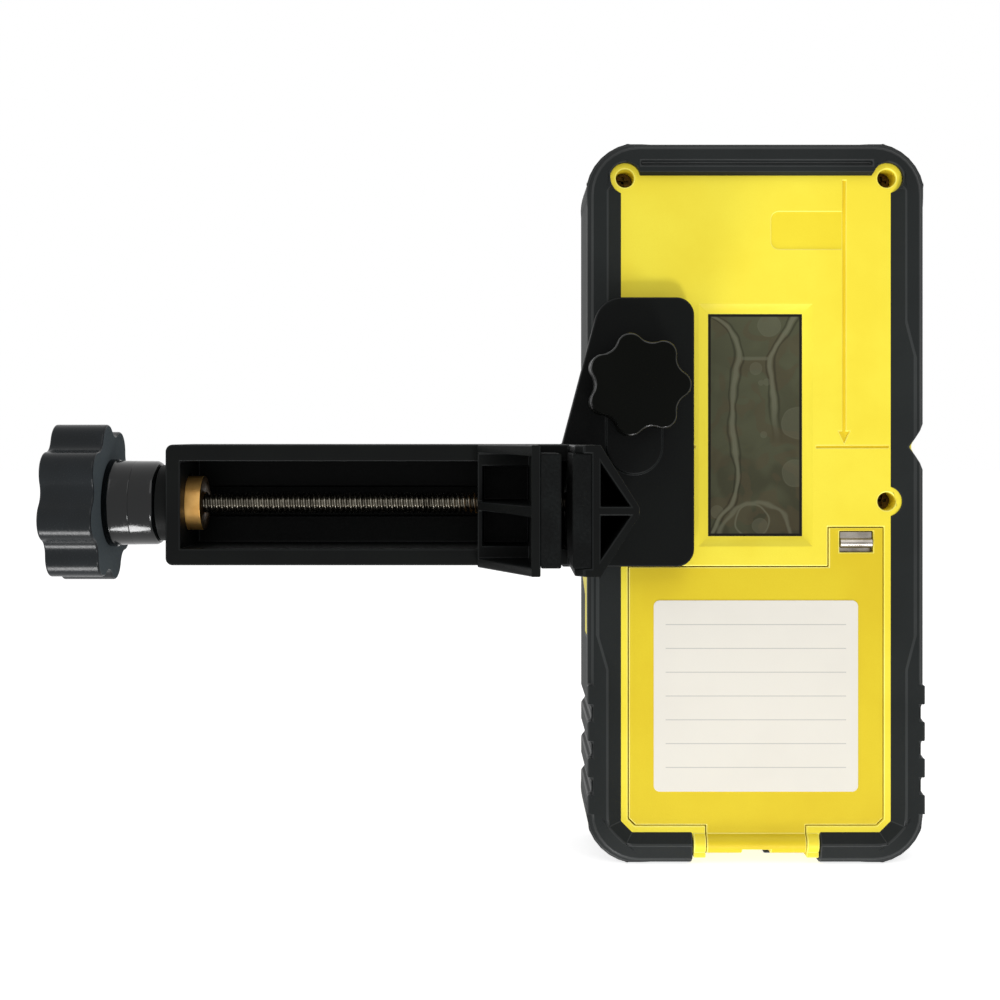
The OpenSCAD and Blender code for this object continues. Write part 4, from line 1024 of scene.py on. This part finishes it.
class ShapeTree(Wiring):
    """A Geometry Nodes tree built step by step, with named inputs for its sizes.

    Attributes:
        same_spot: Corners of a result closer than this many metres are one.
    """

    same_spot: ClassVar[float] = 1e-6

    def __init__(self, name: str, sizes: Sequence[str], counts: Sequence[str] = ()) -> None:
        """Starts a tree.

        Args:
            name: Name of the tree.
            sizes: Names of its number inputs.
            counts: Names of its whole-number inputs.
        """
        self.tree = bpy.data.node_groups.new(name, "GeometryNodeTree")
        super().__init__(self.tree)
        kinds = {"Places": "Geometry"} | dict.fromkeys(sizes, "Float") | dict.fromkeys(counts, "Int")
        face = self.tree.interface
        for socket, kind in (kinds | {"Finish": "Material"}).items():
            face.new_socket(name=socket, in_out="INPUT", socket_type="NodeSocket" + kind)
        face.new_socket(name="Shape", in_out="OUTPUT", socket_type="NodeSocketGeometry")
        self.start = self.node("NodeGroupInput")
        self.end = self.node("NodeGroupOutput")

    def size(self, name: str) -> Wire:
        """Returns the wire of a named input."""
        return self.start.outputs[name]

    def held(self, value: Wire) -> Wire:
        """Holds a number between zero and one."""
        return self.least(self.most(value, 0.0), 1.0)

    def vector(self, **numbers: object) -> Wire:
        """Puts X, Y and Z together."""
        return self.node("ShaderNodeCombineXYZ", **numbers).outputs[0]

    def moved(self, shape: Wire, **change: Wire) -> Wire:
        """Moves or turns a shape."""
        return self.node("GeometryNodeTransform", Geometry=shape, **change).outputs[0]

    def grid_place(self) -> tuple[Wire, Wire]:
        """Place of a corner along and across its grid."""
        place = self.node("GeometryNodeInputPosition").outputs[0]
        spot = self.node("ShaderNodeSeparateXYZ", Vector=place)
        return spot.outputs[0], spot.outputs[1]

    def wind(self, grid: bpy.types.Node, along: Wire, radius: Wire, turn: Wire) -> None:
        """Winds a grid round the X axis and ends the tree with it.

        Args:
            grid: Node that makes the grid.
            along: Place of each corner along the axis.
            radius: Distance of each corner from the axis.
            turn: Angle of each corner about the axis.
        """
        across = self.times(radius, self.maths("COSINE", turn))
        up = self.times(radius, self.maths("SINE", turn))
        place = self.vector(X=along, Y=across, Z=up)
        self.finish(self.node("GeometryNodeSetPosition", Geometry=grid.outputs[0], Position=place).outputs[0])

    def finish(self, shape: Wire) -> None:
        """Ends the tree with real geometry in one finish."""
        real = self.node("GeometryNodeRealizeInstances", Geometry=shape).outputs[0]
        painted = self.node("GeometryNodeSetMaterial", Geometry=real, Material=self.size("Finish"))
        self.feed(self.end.inputs["Shape"], painted.outputs[0])

    def mesh(
        self, values: dict[str, float], look: bpy.types.Material, places: Sequence[Vector] = ()
    ) -> bpy.types.Mesh:
        """Runs the tree once and returns its result as a plain mesh.

        Args:
            values: Numbers for the named inputs.
            look: Material for the whole shape.
            places: Points that the tree sets its shapes on.

        Returns:
            The mesh, its faces pointing outwards.
        """
        seed = bpy.data.meshes.new("places")
        seed.from_pydata([tuple(place) for place in places], [], [])
        holder = placed("growing", seed)
        modifier = holder.modifiers.new("shape", "NODES")
        modifier.node_group = self.tree
        inputs = {**values, "Finish": look}
        for item in self.tree.interface.items_tree:
            if item.in_out == "INPUT" and item.name in inputs:
                modifier[item.identifier] = inputs[item.name]
        made = baked(holder)
        bpy.data.objects.remove(holder)
        work = bmesh.new()
        work.from_mesh(made)
        bmesh.ops.remove_doubles(work, verts=work.verts, dist=self.same_spot)
        bmesh.ops.recalc_face_normals(work, faces=work.faces)
        work.to_mesh(made)
        work.free()
        return made


def thread_tree(root: float = 0.12, rise: float = 0.7, end: float = 0.49999) -> ShapeTree:
    """Builds the tree of a threaded rod along X, closed at both ends.

    Args:
        root: Share of half a pitch that lies at the bottom of the thread.
        rise: Share of half a pitch that climbs to the crest.
        end: Share of the length from the middle, past which the rod closes on its axis.

    Returns:
        The tree.
    """
    tree = ShapeTree("rolled_thread", ["Length", "Radius", "Depth", "Pitch", "Hand"], ["Rows", "Facets"])
    grid = tree.node(
        "GeometryNodeMeshGrid",
        Size_X=tree.size("Length"),
        Size_Y=1.0,
        Vertices_X=tree.size("Rows"),
        Vertices_Y=tree.size("Facets"),
    )
    along, around = tree.grid_place()
    lead = tree.over(along, tree.size("Pitch"))
    phase = tree.maths("FRACT", tree.plus(lead, tree.times(around, tree.size("Hand"))))
    flank = tree.maths("ABSOLUTE", tree.minus(tree.times(phase, 2.0), 1.0))
    crest = tree.held(tree.over(tree.minus(flank, root), rise))
    drop = tree.times(tree.size("Depth"), tree.minus(1.0, crest))
    tip = tree.times(tree.size("Length"), end)
    body = tree.maths("LESS_THAN", tree.maths("ABSOLUTE", along), tip)
    radius = tree.times(tree.minus(tree.size("Radius"), drop), body)
    tree.wind(grid, along, radius, tree.times(around, 2 * math.pi))
    return tree


def lobed_tree(steps: int) -> ShapeTree:
    """Builds the tree of a lobed hand knob along X with rounded rims.

    Args:
        steps: Facets across each rounded rim.

    Returns:
        The tree. Its outline is made of lobe arcs and valley arcs that meet at the switch angle.
    """
    outline_sizes = ["Lobe ring", "Lobe radius", "Valley ring", "Valley radius", "Half pitch", "Switch angle"]
    tree = ShapeTree("lobed_knob", [*outline_sizes, "Thickness", "Rim"], ["Facets"])
    rows = 2 * steps + 3
    grid = tree.node(
        "GeometryNodeMeshGrid",
        Size_X=float(rows),
        Size_Y=1.0,
        Vertices_X=rows + 1,
        Vertices_Y=tree.size("Facets"),
    )
    along_grid, around = tree.grid_place()
    row = tree.maths("ROUND", tree.plus(along_grid, rows / 2))
    turn = tree.times(tree.plus(around, 0.5), 2 * math.pi)
    pitch = tree.times(tree.size("Half pitch"), 2.0)
    share = tree.maths("FRACT", tree.over(turn, pitch))
    from_lobe = tree.times(tree.least(share, tree.minus(1.0, share)), pitch)
    from_valley = tree.minus(tree.size("Half pitch"), from_lobe)

    def arc(kind: str, angle: Wire, sign: float) -> Wire:
        """Distance from the knob's axis to an arc about a point on a ring."""
        ring = tree.size(kind + " ring")
        radius = tree.size(kind + " radius")
        across = tree.times(ring, tree.maths("SINE", angle))
        square = tree.minus(tree.times(radius, radius), tree.times(across, across))
        root = tree.maths("SQRT", tree.most(square, 0.0))
        return tree.plus(tree.times(ring, tree.maths("COSINE", angle)), tree.times(root, sign))

    lobe = arc("Lobe", from_lobe, 1.0)
    valley = arc("Valley", from_valley, -1.0)
    on_lobe = tree.maths("LESS_THAN", from_lobe, tree.size("Switch angle"))
    outline = tree.plus(tree.times(lobe, on_lobe), tree.times(valley, tree.minus(1.0, on_lobe)))

    def quarter(first_row: int) -> Wire:
        """Angle that runs through a right angle over the rows of one rim."""
        share_of_rim = tree.held(tree.over(tree.minus(row, float(first_row)), float(steps)))
        return tree.times(share_of_rim, math.pi / 2)

    near, far = quarter(1), quarter(steps + 2)
    rim = tree.size("Rim")
    pulled = tree.minus(tree.maths("SINE", near), tree.minus(2.0, tree.maths("COSINE", far)))
    reach = tree.plus(outline, tree.times(rim, pulled))
    past_first = tree.maths("GREATER_THAN", row, 0.5)
    inside = tree.times(past_first, tree.maths("LESS_THAN", row, float(rows) - 0.5))
    straight = tree.minus(tree.size("Thickness"), tree.times(rim, 2.0))
    side = tree.times(straight, tree.held(tree.minus(row, float(steps + 1))))
    rounds = tree.plus(tree.minus(1.0, tree.maths("COSINE", near)), tree.maths("SINE", far))
    along = tree.plus(tree.times(rim, rounds), side)
    tree.wind(grid, along, tree.times(reach, inside), turn)
    return tree


def screw_tree(head_facets: int = 32, shank_facets: int = 24, slot_share: float = 1.3) -> ShapeTree:
    """Builds the tree that sets a cross-recessed screw on each place, its head along Y.

    Args:
        head_facets: Facets round the head.
        shank_facets: Facets round the shank.
        slot_share: Length of the recess in radii of the head.

    Returns:
        The tree.
    """
    sizes = ["Head radius", "Head height", "Shank radius", "Shank length", "Slot width", "Slot depth", "Turn"]
    tree = ShapeTree("recessed_screws", sizes)

    def rod(radius: Wire, length: Wire, facets: int, share: float) -> Wire:
        """Rod along Z, moved by a share of its length."""
        made = tree.node("GeometryNodeMeshCylinder", Vertices=facets, Radius=radius, Depth=length)
        return tree.moved(made.outputs[0], Translation=tree.vector(Z=tree.times(length, share)))

    recess = tree.node("GeometryNodeMeshBoolean")
    recess.operation = "DIFFERENCE"
    head = rod(tree.size("Head radius"), tree.size("Head height"), head_facets, 0.5)
    tree.feed(recess.inputs["Mesh 1"], head)
    length = tree.times(tree.size("Head radius"), slot_share)
    width = tree.size("Slot width")
    depth = tree.times(tree.size("Slot depth"), 2.0)
    top = tree.vector(Z=tree.size("Head height"))
    for across, down in ((length, width), (width, length)):
        bar = tree.node("GeometryNodeMeshCube", Size=tree.vector(X=across, Y=down, Z=depth))
        tree.feed(recess.inputs["Mesh 2"], tree.moved(bar.outputs[0], Translation=top))
    shank = rod(tree.size("Shank radius"), tree.size("Shank length"), shank_facets, -0.5)
    whole = tree.node("GeometryNodeJoinGeometry")
    for shape in (recess.outputs[0], shank):
        tree.feed(whole.inputs[0], shape)
    turned = tree.moved(whole.outputs[0], Rotation=tree.vector(X=tree.size("Turn")))
    points = tree.node("GeometryNodeMeshToPoints", Mesh=tree.size("Places"))
    spread = tree.node("GeometryNodeInstanceOnPoints", Points=points.outputs[0], Instance=turned)
    tree.finish(spread.outputs[0])
    return tree


@dataclass(frozen=True)
class RecessedScrew:
    """Sizes of a cross-recessed screw, in millimetres."""

    head_radius: float
    head_height: float
    shank_radius: float
    slot_width: float
    slot_depth: float

    def mesh(
        self, places: Sequence[Vector], shank_length: float, turn: float, look: bpy.types.Material
    ) -> bpy.types.Mesh:
        """Builds one screw on each place.

        Args:
            places: Points under the heads, in metres.
            shank_length: Length of the shanks in metres.
            turn: Angle about X that points the heads along Y or against it.
            look: Material of the screws.

        Returns:
            The mesh of all the screws.
        """
        values = {
            "Head radius": self.head_radius * MM,
            "Head height": self.head_height * MM,
            "Shank radius": self.shank_radius * MM,
            "Shank length": shank_length,
            "Slot width": self.slot_width * MM,
            "Slot depth": self.slot_depth * MM,
            "Turn": turn,
        }
        return screw_tree().mesh(values, look, places)


@dataclass
class ReceiverCase:
    """Yellow shells, rubber bumper, windows and what lies between them."""

    body: str = "receiver"
    shell_edge: float = 0.3
    shell_angle: float = 40.0
    shell_room: float = 1.6
    shell_crease: float = 16.0
    bumper_edge: float = 0.4
    bumper_angle: float = 20.0
    panel_y: float = 38.0
    pad_depth: float = 0.1
    line_depth: float = 0.35
    mark_end: float = 0.9
    floor_lean: float = 0.98
    screw: RecessedScrew = RecessedScrew(2.15, 2.2, 1.25, 0.7, 1.1)

    def build(self, shop: Workshop) -> None:
        """Builds the case's pieces.

        Args:
            shop: Workshop that makes and hands over the pieces.
        """
        shell = shop.soften(
            "rear_case",
            "rear_shell",
            self.body,
            "case_yellow",
            self.shell_edge,
            angle=self.shell_angle,
            room_mm=self.shell_room,
            crease=self.shell_crease,
        )
        self.paint_recess_shade(shop, shell.data)
        shop.soften("front_case", "front_shell", self.body, "case_yellow", self.shell_edge)
        shop.soften(
            "bumper",
            "rubber_bumper",
            self.body,
            "bumper_rubber",
            self.bumper_edge,
            segments=3,
            angle=self.bumper_angle,
            seat_y=self.panel_y,
        )
        self.screws(shop)

    def paint_recess_shade(self, shop: Workshop, mesh: bpy.types.Mesh) -> None:
        """Paints shade on the floors of the mark's pad and of its lines: darker yellows, darkest in the
        deeper lines.

        Args:
            shop: Workshop that holds the finishes.
            mesh: Mesh of the rear shell, changed in place.
        """
        start = len(mesh.materials)
        for finish in ("pad_yellow_painted_shade", "line_yellow_painted_shade"):
            mesh.materials.append(shop.finishes.get(finish))
        # Back-facing floors at the pad's depth take the painted shade, and those of the deeper lines the
        # darker one.
        for polygon in mesh.polygons:
            depth = polygon.center.y / MM - self.panel_y
            if polygon.normal.y < -self.floor_lean and self.pad_depth < depth < self.mark_end:
                polygon.material_index = start + (depth > self.line_depth)

    def screws(self, shop: Workshop) -> None:
        """Sets a recessed screw in each of the four deep holes."""
        low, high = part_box("case_screws")
        inset = self.screw.head_radius * MM
        seat = low.y + self.screw.head_height * MM
        places = [
            Vector((x, seat, z))
            for x in (low.x + inset, high.x - inset)
            for z in (low.z + inset, high.z - inset)
        ]
        look = shop.finishes.get("screw_brown")
        mesh = self.screw.mesh(places, high.y - seat, math.pi / 2, look)
        shop.piece("case_screw_set", mesh, self.body, "fastener_steel", [look], "case_screws")

    def dress(self, shop: Workshop) -> None:
        """Gives the pieces that keep their CAD shape their finishes."""
        finishes = {
            "rear_lens": "display_window",
            "rear_display": "display_glass",
            "front_lens": "front_window",
            "front_display": "display_glass",
            "sensor_window": "sensor_red",
            "sensor_board": "circuit_board",
            "main_board": "circuit_board",
            "keypad_mat": "button_rubber",
            "buzzer": "buzzer_black",
            "battery_cells": "cell_wrap",
            "battery_contacts": "nickel_strip",
            "mount_insert": "brass",
            "hinge_pin": "fastener_steel",
            "case_seal": "seal_rubber",
        }
        for node, finish in finishes.items():
            shop.paint(node, finish)


@dataclass
class BatteryDoor:
    """Hinged door with its seal, label and rolled latch."""

    body: str = "battery_door"
    latch_body: str = "door_latch"
    door_edge: float = 0.25
    latch_edge: float = 0.12
    shade_share: float = 0.24
    rear_lean: float = 0.9

    def build(self, shop: Workshop) -> None:
        """Builds the door and its latch."""
        # The door wears the darker yellow, painted shade, with a painted highlight on its rounded edges.
        shop.soften(
            "battery_door", "door_panel", self.body, "case_yellow", self.door_edge, finish="door_yellow"
        )
        latch = shop.soften(
            "door_latch",
            "rolled_latch",
            self.latch_body,
            "fastener_steel",
            self.latch_edge,
            finish="latch_steel",
        )
        # The latch's lower rear-facing faces are painted dark: painted shade of the pocket below the roll.
        low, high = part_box("door_latch")
        shade_top = low.z + self.shade_share * (high.z - low.z)
        latch.data.materials.append(shop.finishes.get("latch_gap"))
        for polygon in latch.data.polygons:
            if polygon.center.z < shade_top and polygon.normal.y < -self.rear_lean:
                polygon.material_index = len(latch.data.materials) - 1

    def dress(self, shop: Workshop) -> None:
        """Finishes the label and the seal."""
        shop.paint("info_label", "label_white")
        shop.paint("door_seal", "seal_rubber")


@dataclass
class FrontButtons:
    """Four rubber buttons on the front."""

    names: tuple[str, ...] = ("power_button", "light_button", "sound_button", "range_button")
    edge: float = 0.35
    angle: float = 20.0

    def build(self, shop: Workshop) -> None:
        """Builds each button on its own body."""
        for name in self.names:
            shop.soften(name, name + "_cap", name, "button_rubber", self.edge, segments=3, angle=self.angle)


@dataclass
class RodClamp:
    """Fixed half of the rod clamp: bracket, fixed pad and thrust washer."""

    body: str = "receiver"
    bracket_edge: float = 0.35
    pad_edge: float = 0.4
    washer_edge: float = 0.3

    def build(self, shop: Workshop) -> None:
        """Builds the bracket, its pad and its washer."""
        shop.soften("clamp_bracket", "bracket_moulding", self.body, "clamp_black", self.bracket_edge)
        shop.soften("fixed_jaw_pad", "fixed_pad", self.body, "pad_rubber", self.pad_edge)
        shop.soften("thrust_washer", "hub_spacer", self.body, "clamp_black", self.washer_edge)


@dataclass(frozen=True)
class LobedHead:
    """Outline and rim of a lobed hand knob, in millimetres."""

    outer: float
    valley: float
    count: int
    lobe: float
    thickness: float
    rim: float
    turn_deg: float = 0.0
    facets: int = 225
    rim_steps: int = 5

    def mesh(self, look: bpy.types.Material) -> bpy.types.Mesh:
        """Returns the knob's mesh along X from zero, in one finish."""
        return lobed_tree(self.rim_steps).mesh(self.values(), look)

    def values(self) -> dict[str, float]:
        """Numbers for the lobed tree: arcs of the lobes and the valleys that meet them tangent."""
        ring = self.outer - self.lobe
        half = math.pi / self.count
        reach = ring * ring + self.valley**2 - 2 * ring * self.valley * math.cos(half) - self.lobe**2
        arc = reach / (2 * (ring * math.cos(half) + self.lobe - self.valley))
        valley_ring = self.valley + arc
        away = Vector((valley_ring * math.cos(half) - ring, valley_ring * math.sin(half))).normalized()
        meet = Vector((ring, 0.0)) + away * self.lobe
        return {
            "Lobe ring": ring * MM,
            "Lobe radius": self.lobe * MM,
            "Valley ring": valley_ring * MM,
            "Valley radius": arc * MM,
            "Half pitch": half,
            "Switch angle": math.atan2(meet.y, meet.x),
            "Thickness": self.thickness * MM,
            "Rim": self.rim * MM,
            "Facets": self.facets,
        }


@dataclass
class ClampScrew:
    """Clamp knob with its hub, the lead screw and the brass collar."""

    body: str = "clamp_screw"
    axis_y: float = 26.0
    head: LobedHead = LobedHead(19.4, 16.5, 8, 5.0, 12.7, 0.5, 13.5)
    face_lean: float = 0.95
    hub_profile: tuple[Point, ...] = (
        (-0.5, 0.0), (-0.5, 10.6), (1.6, 10.6), (1.9, 10.25), (5.9, 10.2), (6.0, 10.1), (6.12, 10.1),
        (6.22, 10.2), (11.2, 10.15), (11.85, 9.8), (12.1, 9.4), (12.1, 0.0),
    )
    turned_facets: int = 96
    pitch: float = 1.25
    depth: float = 0.62
    rows_per_turn: int = 8
    facets: int = 29
    collar_bore: float = 2.62
    collar_bevel: float = 0.15
    collar_round: Point = (0.2, 0.06)
    collar_lean: float = 0.9

    def build(self, shop: Workshop) -> None:
        """Builds the knob, the screw and the collar."""
        self.knob(shop)
        self.screw(shop)
        self.collar(shop)

    def knob(self, shop: Workshop) -> None:
        """Builds the lobed head and the turned hub."""
        low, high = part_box("clamp_knob")
        look = shop.finishes.get("knob_gloss")
        mesh = self.head.mesh(look)
        spin = Matrix.Rotation(math.radians(self.head.turn_deg), 4, "X")
        mesh.transform(Matrix.Translation((low.x, self.axis_y * MM, 0.0)) @ spin)
        # The flat faces take the painted sheen finish.
        shop.second_look(mesh, "knob_face_painted_sheen", Axis.X, self.face_lean)
        shop.piece("knob_head", shop.settle(mesh), self.body, "knob_gloss", [look], "clamp_knob")
        start = high.x / MM - self.hub_profile[-1][0]
        hub = shop.turned(self.hub_profile, Axis.X, (start, self.axis_y, 0.0), self.turned_facets)
        look = shop.finishes.get("hub_gloss")
        shop.piece("knob_hub", shop.settle(hub), self.body, "knob_gloss", [look])

    def screw(self, shop: Workshop) -> None:
        """Builds the left-hand thread from end to end."""
        low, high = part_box("lead_screw")
        length = high.x - low.x
        turns = length / (self.pitch * MM)
        values = {
            "Length": length,
            "Radius": (high.z - low.z) / 2,
            "Depth": self.depth * MM,
            "Pitch": self.pitch * MM,
            "Hand": -1.0,
            "Rows": int(turns * self.rows_per_turn),
            "Facets": self.facets,
        }
        look = shop.finishes.get("screw_steel")
        mesh = thread_tree().mesh(values, look)
        mesh.transform(Matrix.Translation(((low.x + high.x) / 2, self.axis_y * MM, 0.0)))
        shop.piece("lead_screw_thread", shop.settle(mesh), self.body, "screw_steel", [look], "lead_screw")

    def collar(self, shop: Workshop) -> None:
        """Turns the brass collar."""
        low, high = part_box("thrust_collar")
        r = (high.z - low.z) / 2 / MM
        length = (high.x - low.x) / MM
        bore, bevel = self.collar_bore, self.collar_bevel
        soft, half = self.collar_round
        profile = [(0.0, bore), (0.0, r - bevel), (bevel, r), (length - soft, r), (length - half, r - half)]
        profile += [(length, r - soft), (length, bore), (0.0, bore)]
        mesh = shop.turned(profile, Axis.X, (low.x / MM, self.axis_y, 0.0), self.turned_facets)
        look = shop.finishes.get("brass")
        mesh.materials.append(look)
        # The flat ends take the dark brown painted shade.
        shop.second_look(mesh, "brass_painted_shade", Axis.X, self.collar_lean)
        shop.piece("brass_collar", shop.settle(mesh), self.body, "brass", [look], "thrust_collar")


@dataclass
class SlidingJaw:
    """Sliding jaw with its pad, nut, keeper and keeper screws."""

    body: str = "sliding_jaw"
    jaw_edge: float = 0.3
    pad_edge: float = 0.4
    keeper_edge: float = 0.15
    screw: RecessedScrew = RecessedScrew(2.0, 1.3, 0.8, 0.6, 0.8)

    def build(self, shop: Workshop) -> None:
        """Builds the jaw and what is fixed to it."""
        shop.soften("sliding_jaw", "jaw_moulding", self.body, "clamp_black", self.jaw_edge)
        shop.soften("sliding_jaw_pad", "jaw_pad", self.body, "pad_rubber", self.pad_edge)
        shop.soften("jaw_keeper", "keeper_plate", self.body, "fastener_steel", self.keeper_edge)
        shop.paint("jaw_nut", "brass")
        self.screws(shop)

    def screws(self, shop: Workshop) -> None:
        """Sets the two screws that hold the keeper."""
        low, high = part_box("keeper_screws")
        inset = self.screw.head_radius * MM
        seat = high.y - self.screw.head_height * MM
        places = [Vector((x, seat, 0.0)) for x in (low.x + inset, high.x - inset)]
        look = shop.finishes.get("fastener_steel")
        mesh = self.screw.mesh(places, seat - low.y, -math.pi / 2, look)
        shop.piece("keeper_screw_set", mesh, self.body, "fastener_steel", [look], "keeper_screws")


@dataclass
class MountingKnob:
    """Thumb knob that holds the clamp to the receiver, with its washer and stud."""

    body: str = "mounting_knob"
    washer_body: str = "knob_washer"
    head: LobedHead = LobedHead(12.6, 10.5, 7, 3.2, 9.0, 0.6)
    edge_lean: Point = (0.15, 0.97)
    neck_radius: float = 6.0
    neck_sink: float = 0.4
    neck_flare: Point = (0.7, 0.6)
    neck_bevel: float = 0.3
    neck_facets: int = 64
    washer_edge: float = 0.12

    def build(self, shop: Workshop) -> None:
        """Builds the head, the neck and the stud."""
        low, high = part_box("mounting_knob")
        stud_low, stud_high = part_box("mounting_stud")
        x = (stud_low.x + stud_high.x) / 2
        z = (stud_low.z + stud_high.z) / 2
        look = shop.finishes.get("knob_satin")
        mesh = self.head.mesh(look)
        to_y = Matrix(((0, 1, 0, 0), (1, 0, 0, 0), (0, 0, 1, 0), (0, 0, 0, 1)))
        mesh.transform(Matrix.Translation((x, low.y, z)) @ to_y)
        mesh.flip_normals()
        # The rim faces take a lighter, glossier finish: a painted highlight along the knob's rims.
        shop.second_look(mesh, "knob_satin_edge", Axis.Y, *self.edge_lean)
        shop.piece("thumb_head", shop.settle(mesh), self.body, "knob_satin", [look], "mounting_knob")
        neck_end = (high.y - low.y) / MM
        start = self.head.thickness - self.neck_sink
        r, bevel = self.neck_radius, self.neck_bevel
        flare_end, flare = self.neck_flare
        profile = [(start, 0.0), (start, r + flare), (start + flare_end, r), (neck_end - bevel, r)]
        profile += [(neck_end, r - bevel), (neck_end, 0.0)]
        neck = shop.turned(profile, Axis.Y, (x / MM, low.y / MM, z / MM), self.neck_facets)
        shop.piece("thumb_neck", shop.settle(neck), self.body, "knob_satin", [look])
        shop.paint("mounting_stud", "screw_steel")
        shop.soften("knob_washer", "thumb_washer", self.washer_body, "fastener_steel", self.washer_edge)


@dataclass(frozen=True)
class Lamp:
    """Soft square lamp.

    Attributes:
        name: Name of the lamp.
        place: Where it stands, in millimetres.
        aim: Point that it faces, in millimetres.
        side: Side of the lamp, in millimetres.
        power: Power in watts.
    """

    name: str
    place: Place
    aim: Place
    side: float
    power: float

    def build(self) -> None:
        """Adds the lamp to the scene."""
        data = bpy.data.lights.new(self.name, "AREA")
        data.size = self.side * MM
        data.energy = self.power
        lamp = placed(self.name, data)
        lamp.location = Vector(self.place) * MM
        lamp.rotation_euler = (Vector(self.aim) - Vector(self.place)).to_track_quat("-Z", "Y").to_euler()


@dataclass
class Studio:
    """Camera, floor, lamps and white surroundings.

    The floor's reach to each side and the camera's near end of sight are in metres.
    """

    camera_place: Place = (-15.8, -329.0, 16.5)
    lens: float = 52.4
    sensor: float = 36.0
    shift: float = -0.065
    near: float = 0.01
    ambient: float = 0.48
    floor_reach: float = 4.0
    floor_grey: float = 0.82
    floor_glow: float = 0.72
    lamps: tuple[Lamp, ...] = (
        Lamp("key", (420.0, -1310.0, -1150.0), (40.0, 30.0, 10.0), 320.0, 12.2),
        Lamp("low", (-520.0, -420.0, -1480.0), (-60.0, 26.0, 0.0), 460.0, 15.0),
        Lamp("left", (-900.0, -420.0, 260.0), (-30.0, 20.0, 0.0), 500.0, 2.0),
        Lamp("top", (160.0, -520.0, 640.0), (50.0, 30.0, 60.0), 600.0, 1.6),
    )

    def build(self) -> None:
        """Builds everything that isn't part of the object."""
        self.camera()
        self.world()
        self.floor()
        for lamp in self.lamps:
            lamp.build()

    def camera(self) -> None:
        """Places the camera at the photograph's viewpoint."""
        data = bpy.data.cameras.new("viewpoint")
        data.lens = self.lens
        data.sensor_width = self.sensor
        data.shift_y = self.shift
        data.clip_start = self.near
        camera = placed("viewpoint", data)
        camera.location = Vector(self.camera_place) * MM
        camera.rotation_euler = (math.pi / 2, 0.0, 0.0)
        bpy.context.scene.camera = camera

    @staticmethod
    def seen_rays(wiring: Wiring) -> Wire:
        """Returns one for camera, mirror and glass rays, and zero for the rest."""
        path = wiring.node("ShaderNodeLightPath").outputs
        seen = wiring.most(path["Is Camera Ray"], path["Is Glossy Ray"])
        return wiring.most(seen, path["Is Transmission Ray"])

    def world(self) -> None:
        """White surroundings for the camera, and a plain level of soft light for the object."""
        world = bpy.data.worlds.new("white_room")
        bpy.context.scene.world = world
        world.use_nodes = True
        wiring = Wiring(world.node_tree)
        wiring.nodes.clear()
        white = (1.0, 1.0, 1.0, 1.0)
        soft = wiring.node("ShaderNodeBackground", Color=white, Strength=self.ambient)
        plain = wiring.node("ShaderNodeBackground", Color=white)
        mixed = wiring.node("ShaderNodeMixShader", Fac=self.seen_rays(wiring))
        wiring.links.new(soft.outputs[0], mixed.inputs[1])
        wiring.links.new(plain.outputs[0], mixed.inputs[2])
        wiring.node("ShaderNodeOutputWorld", Surface=mixed.outputs[0])

    def floor(self) -> None:
        """Pale floor under the receiver that keeps a faint shadow and lets the low lamps shine past it."""
        low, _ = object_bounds()
        side = self.floor_reach
        mesh = bpy.data.meshes.new("floor")
        corners = [(-side, -side, low.z), (side, -side, low.z), (side, side, low.z), (-side, side, low.z)]
        mesh.from_pydata(corners, [], [(0, 1, 2, 3)])
        floor = placed("floor", mesh)
        material = bpy.data.materials.new("pale_floor")
        material.use_nodes = True
        wiring = Wiring(material.node_tree)
        wiring.nodes.clear()
        grey = (self.floor_grey, self.floor_grey, self.floor_grey, 1.0)
        matt = wiring.node("ShaderNodeBsdfDiffuse", Color=grey)
        lit = wiring.times(self.seen_rays(wiring), self.floor_glow)
        glow = wiring.node("ShaderNodeEmission", Strength=lit)
        both = wiring.node("ShaderNodeAddShader")
        wiring.links.new(matt.outputs[0], both.inputs[0])
        wiring.links.new(glow.outputs[0], both.inputs[1])
        wiring.node("ShaderNodeOutputMaterial", Surface=both.outputs[0])
        mesh.materials.append(material)
        floor.visible_shadow = False
        floor.visible_glossy = False
        floor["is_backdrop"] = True


def flat_corners(node: str) -> Corners:
    """Returns the lower left and upper right corner of a node, across and up, in metres."""
    low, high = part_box(node)
    return (low.x, low.z), (high.x, high.z)


def main() -> None:
    """Loads the frame, builds each sub-assembly and the studio."""
    logging.basicConfig(level=logging.INFO, format="%(name)s: %(message)s")
    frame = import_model()
    bpy.context.scene.view_settings.view_transform = "Standard"
    finishes = Finishes()
    finishes.build(flat_corners("info_label"), flat_corners("rear_display"))
    shop = Workshop(frame["nodes"], finishes)
    case = ReceiverCase()
    case.build(shop)
    case.dress(shop)
    door = BatteryDoor()
    door.build(shop)
    door.dress(shop)
    for part in (FrontButtons(), RodClamp(), ClampScrew(), SlidingJaw(), MountingKnob()):
        part.build(shop)
    Studio().build()


if __name__ == "__main__":
    main()
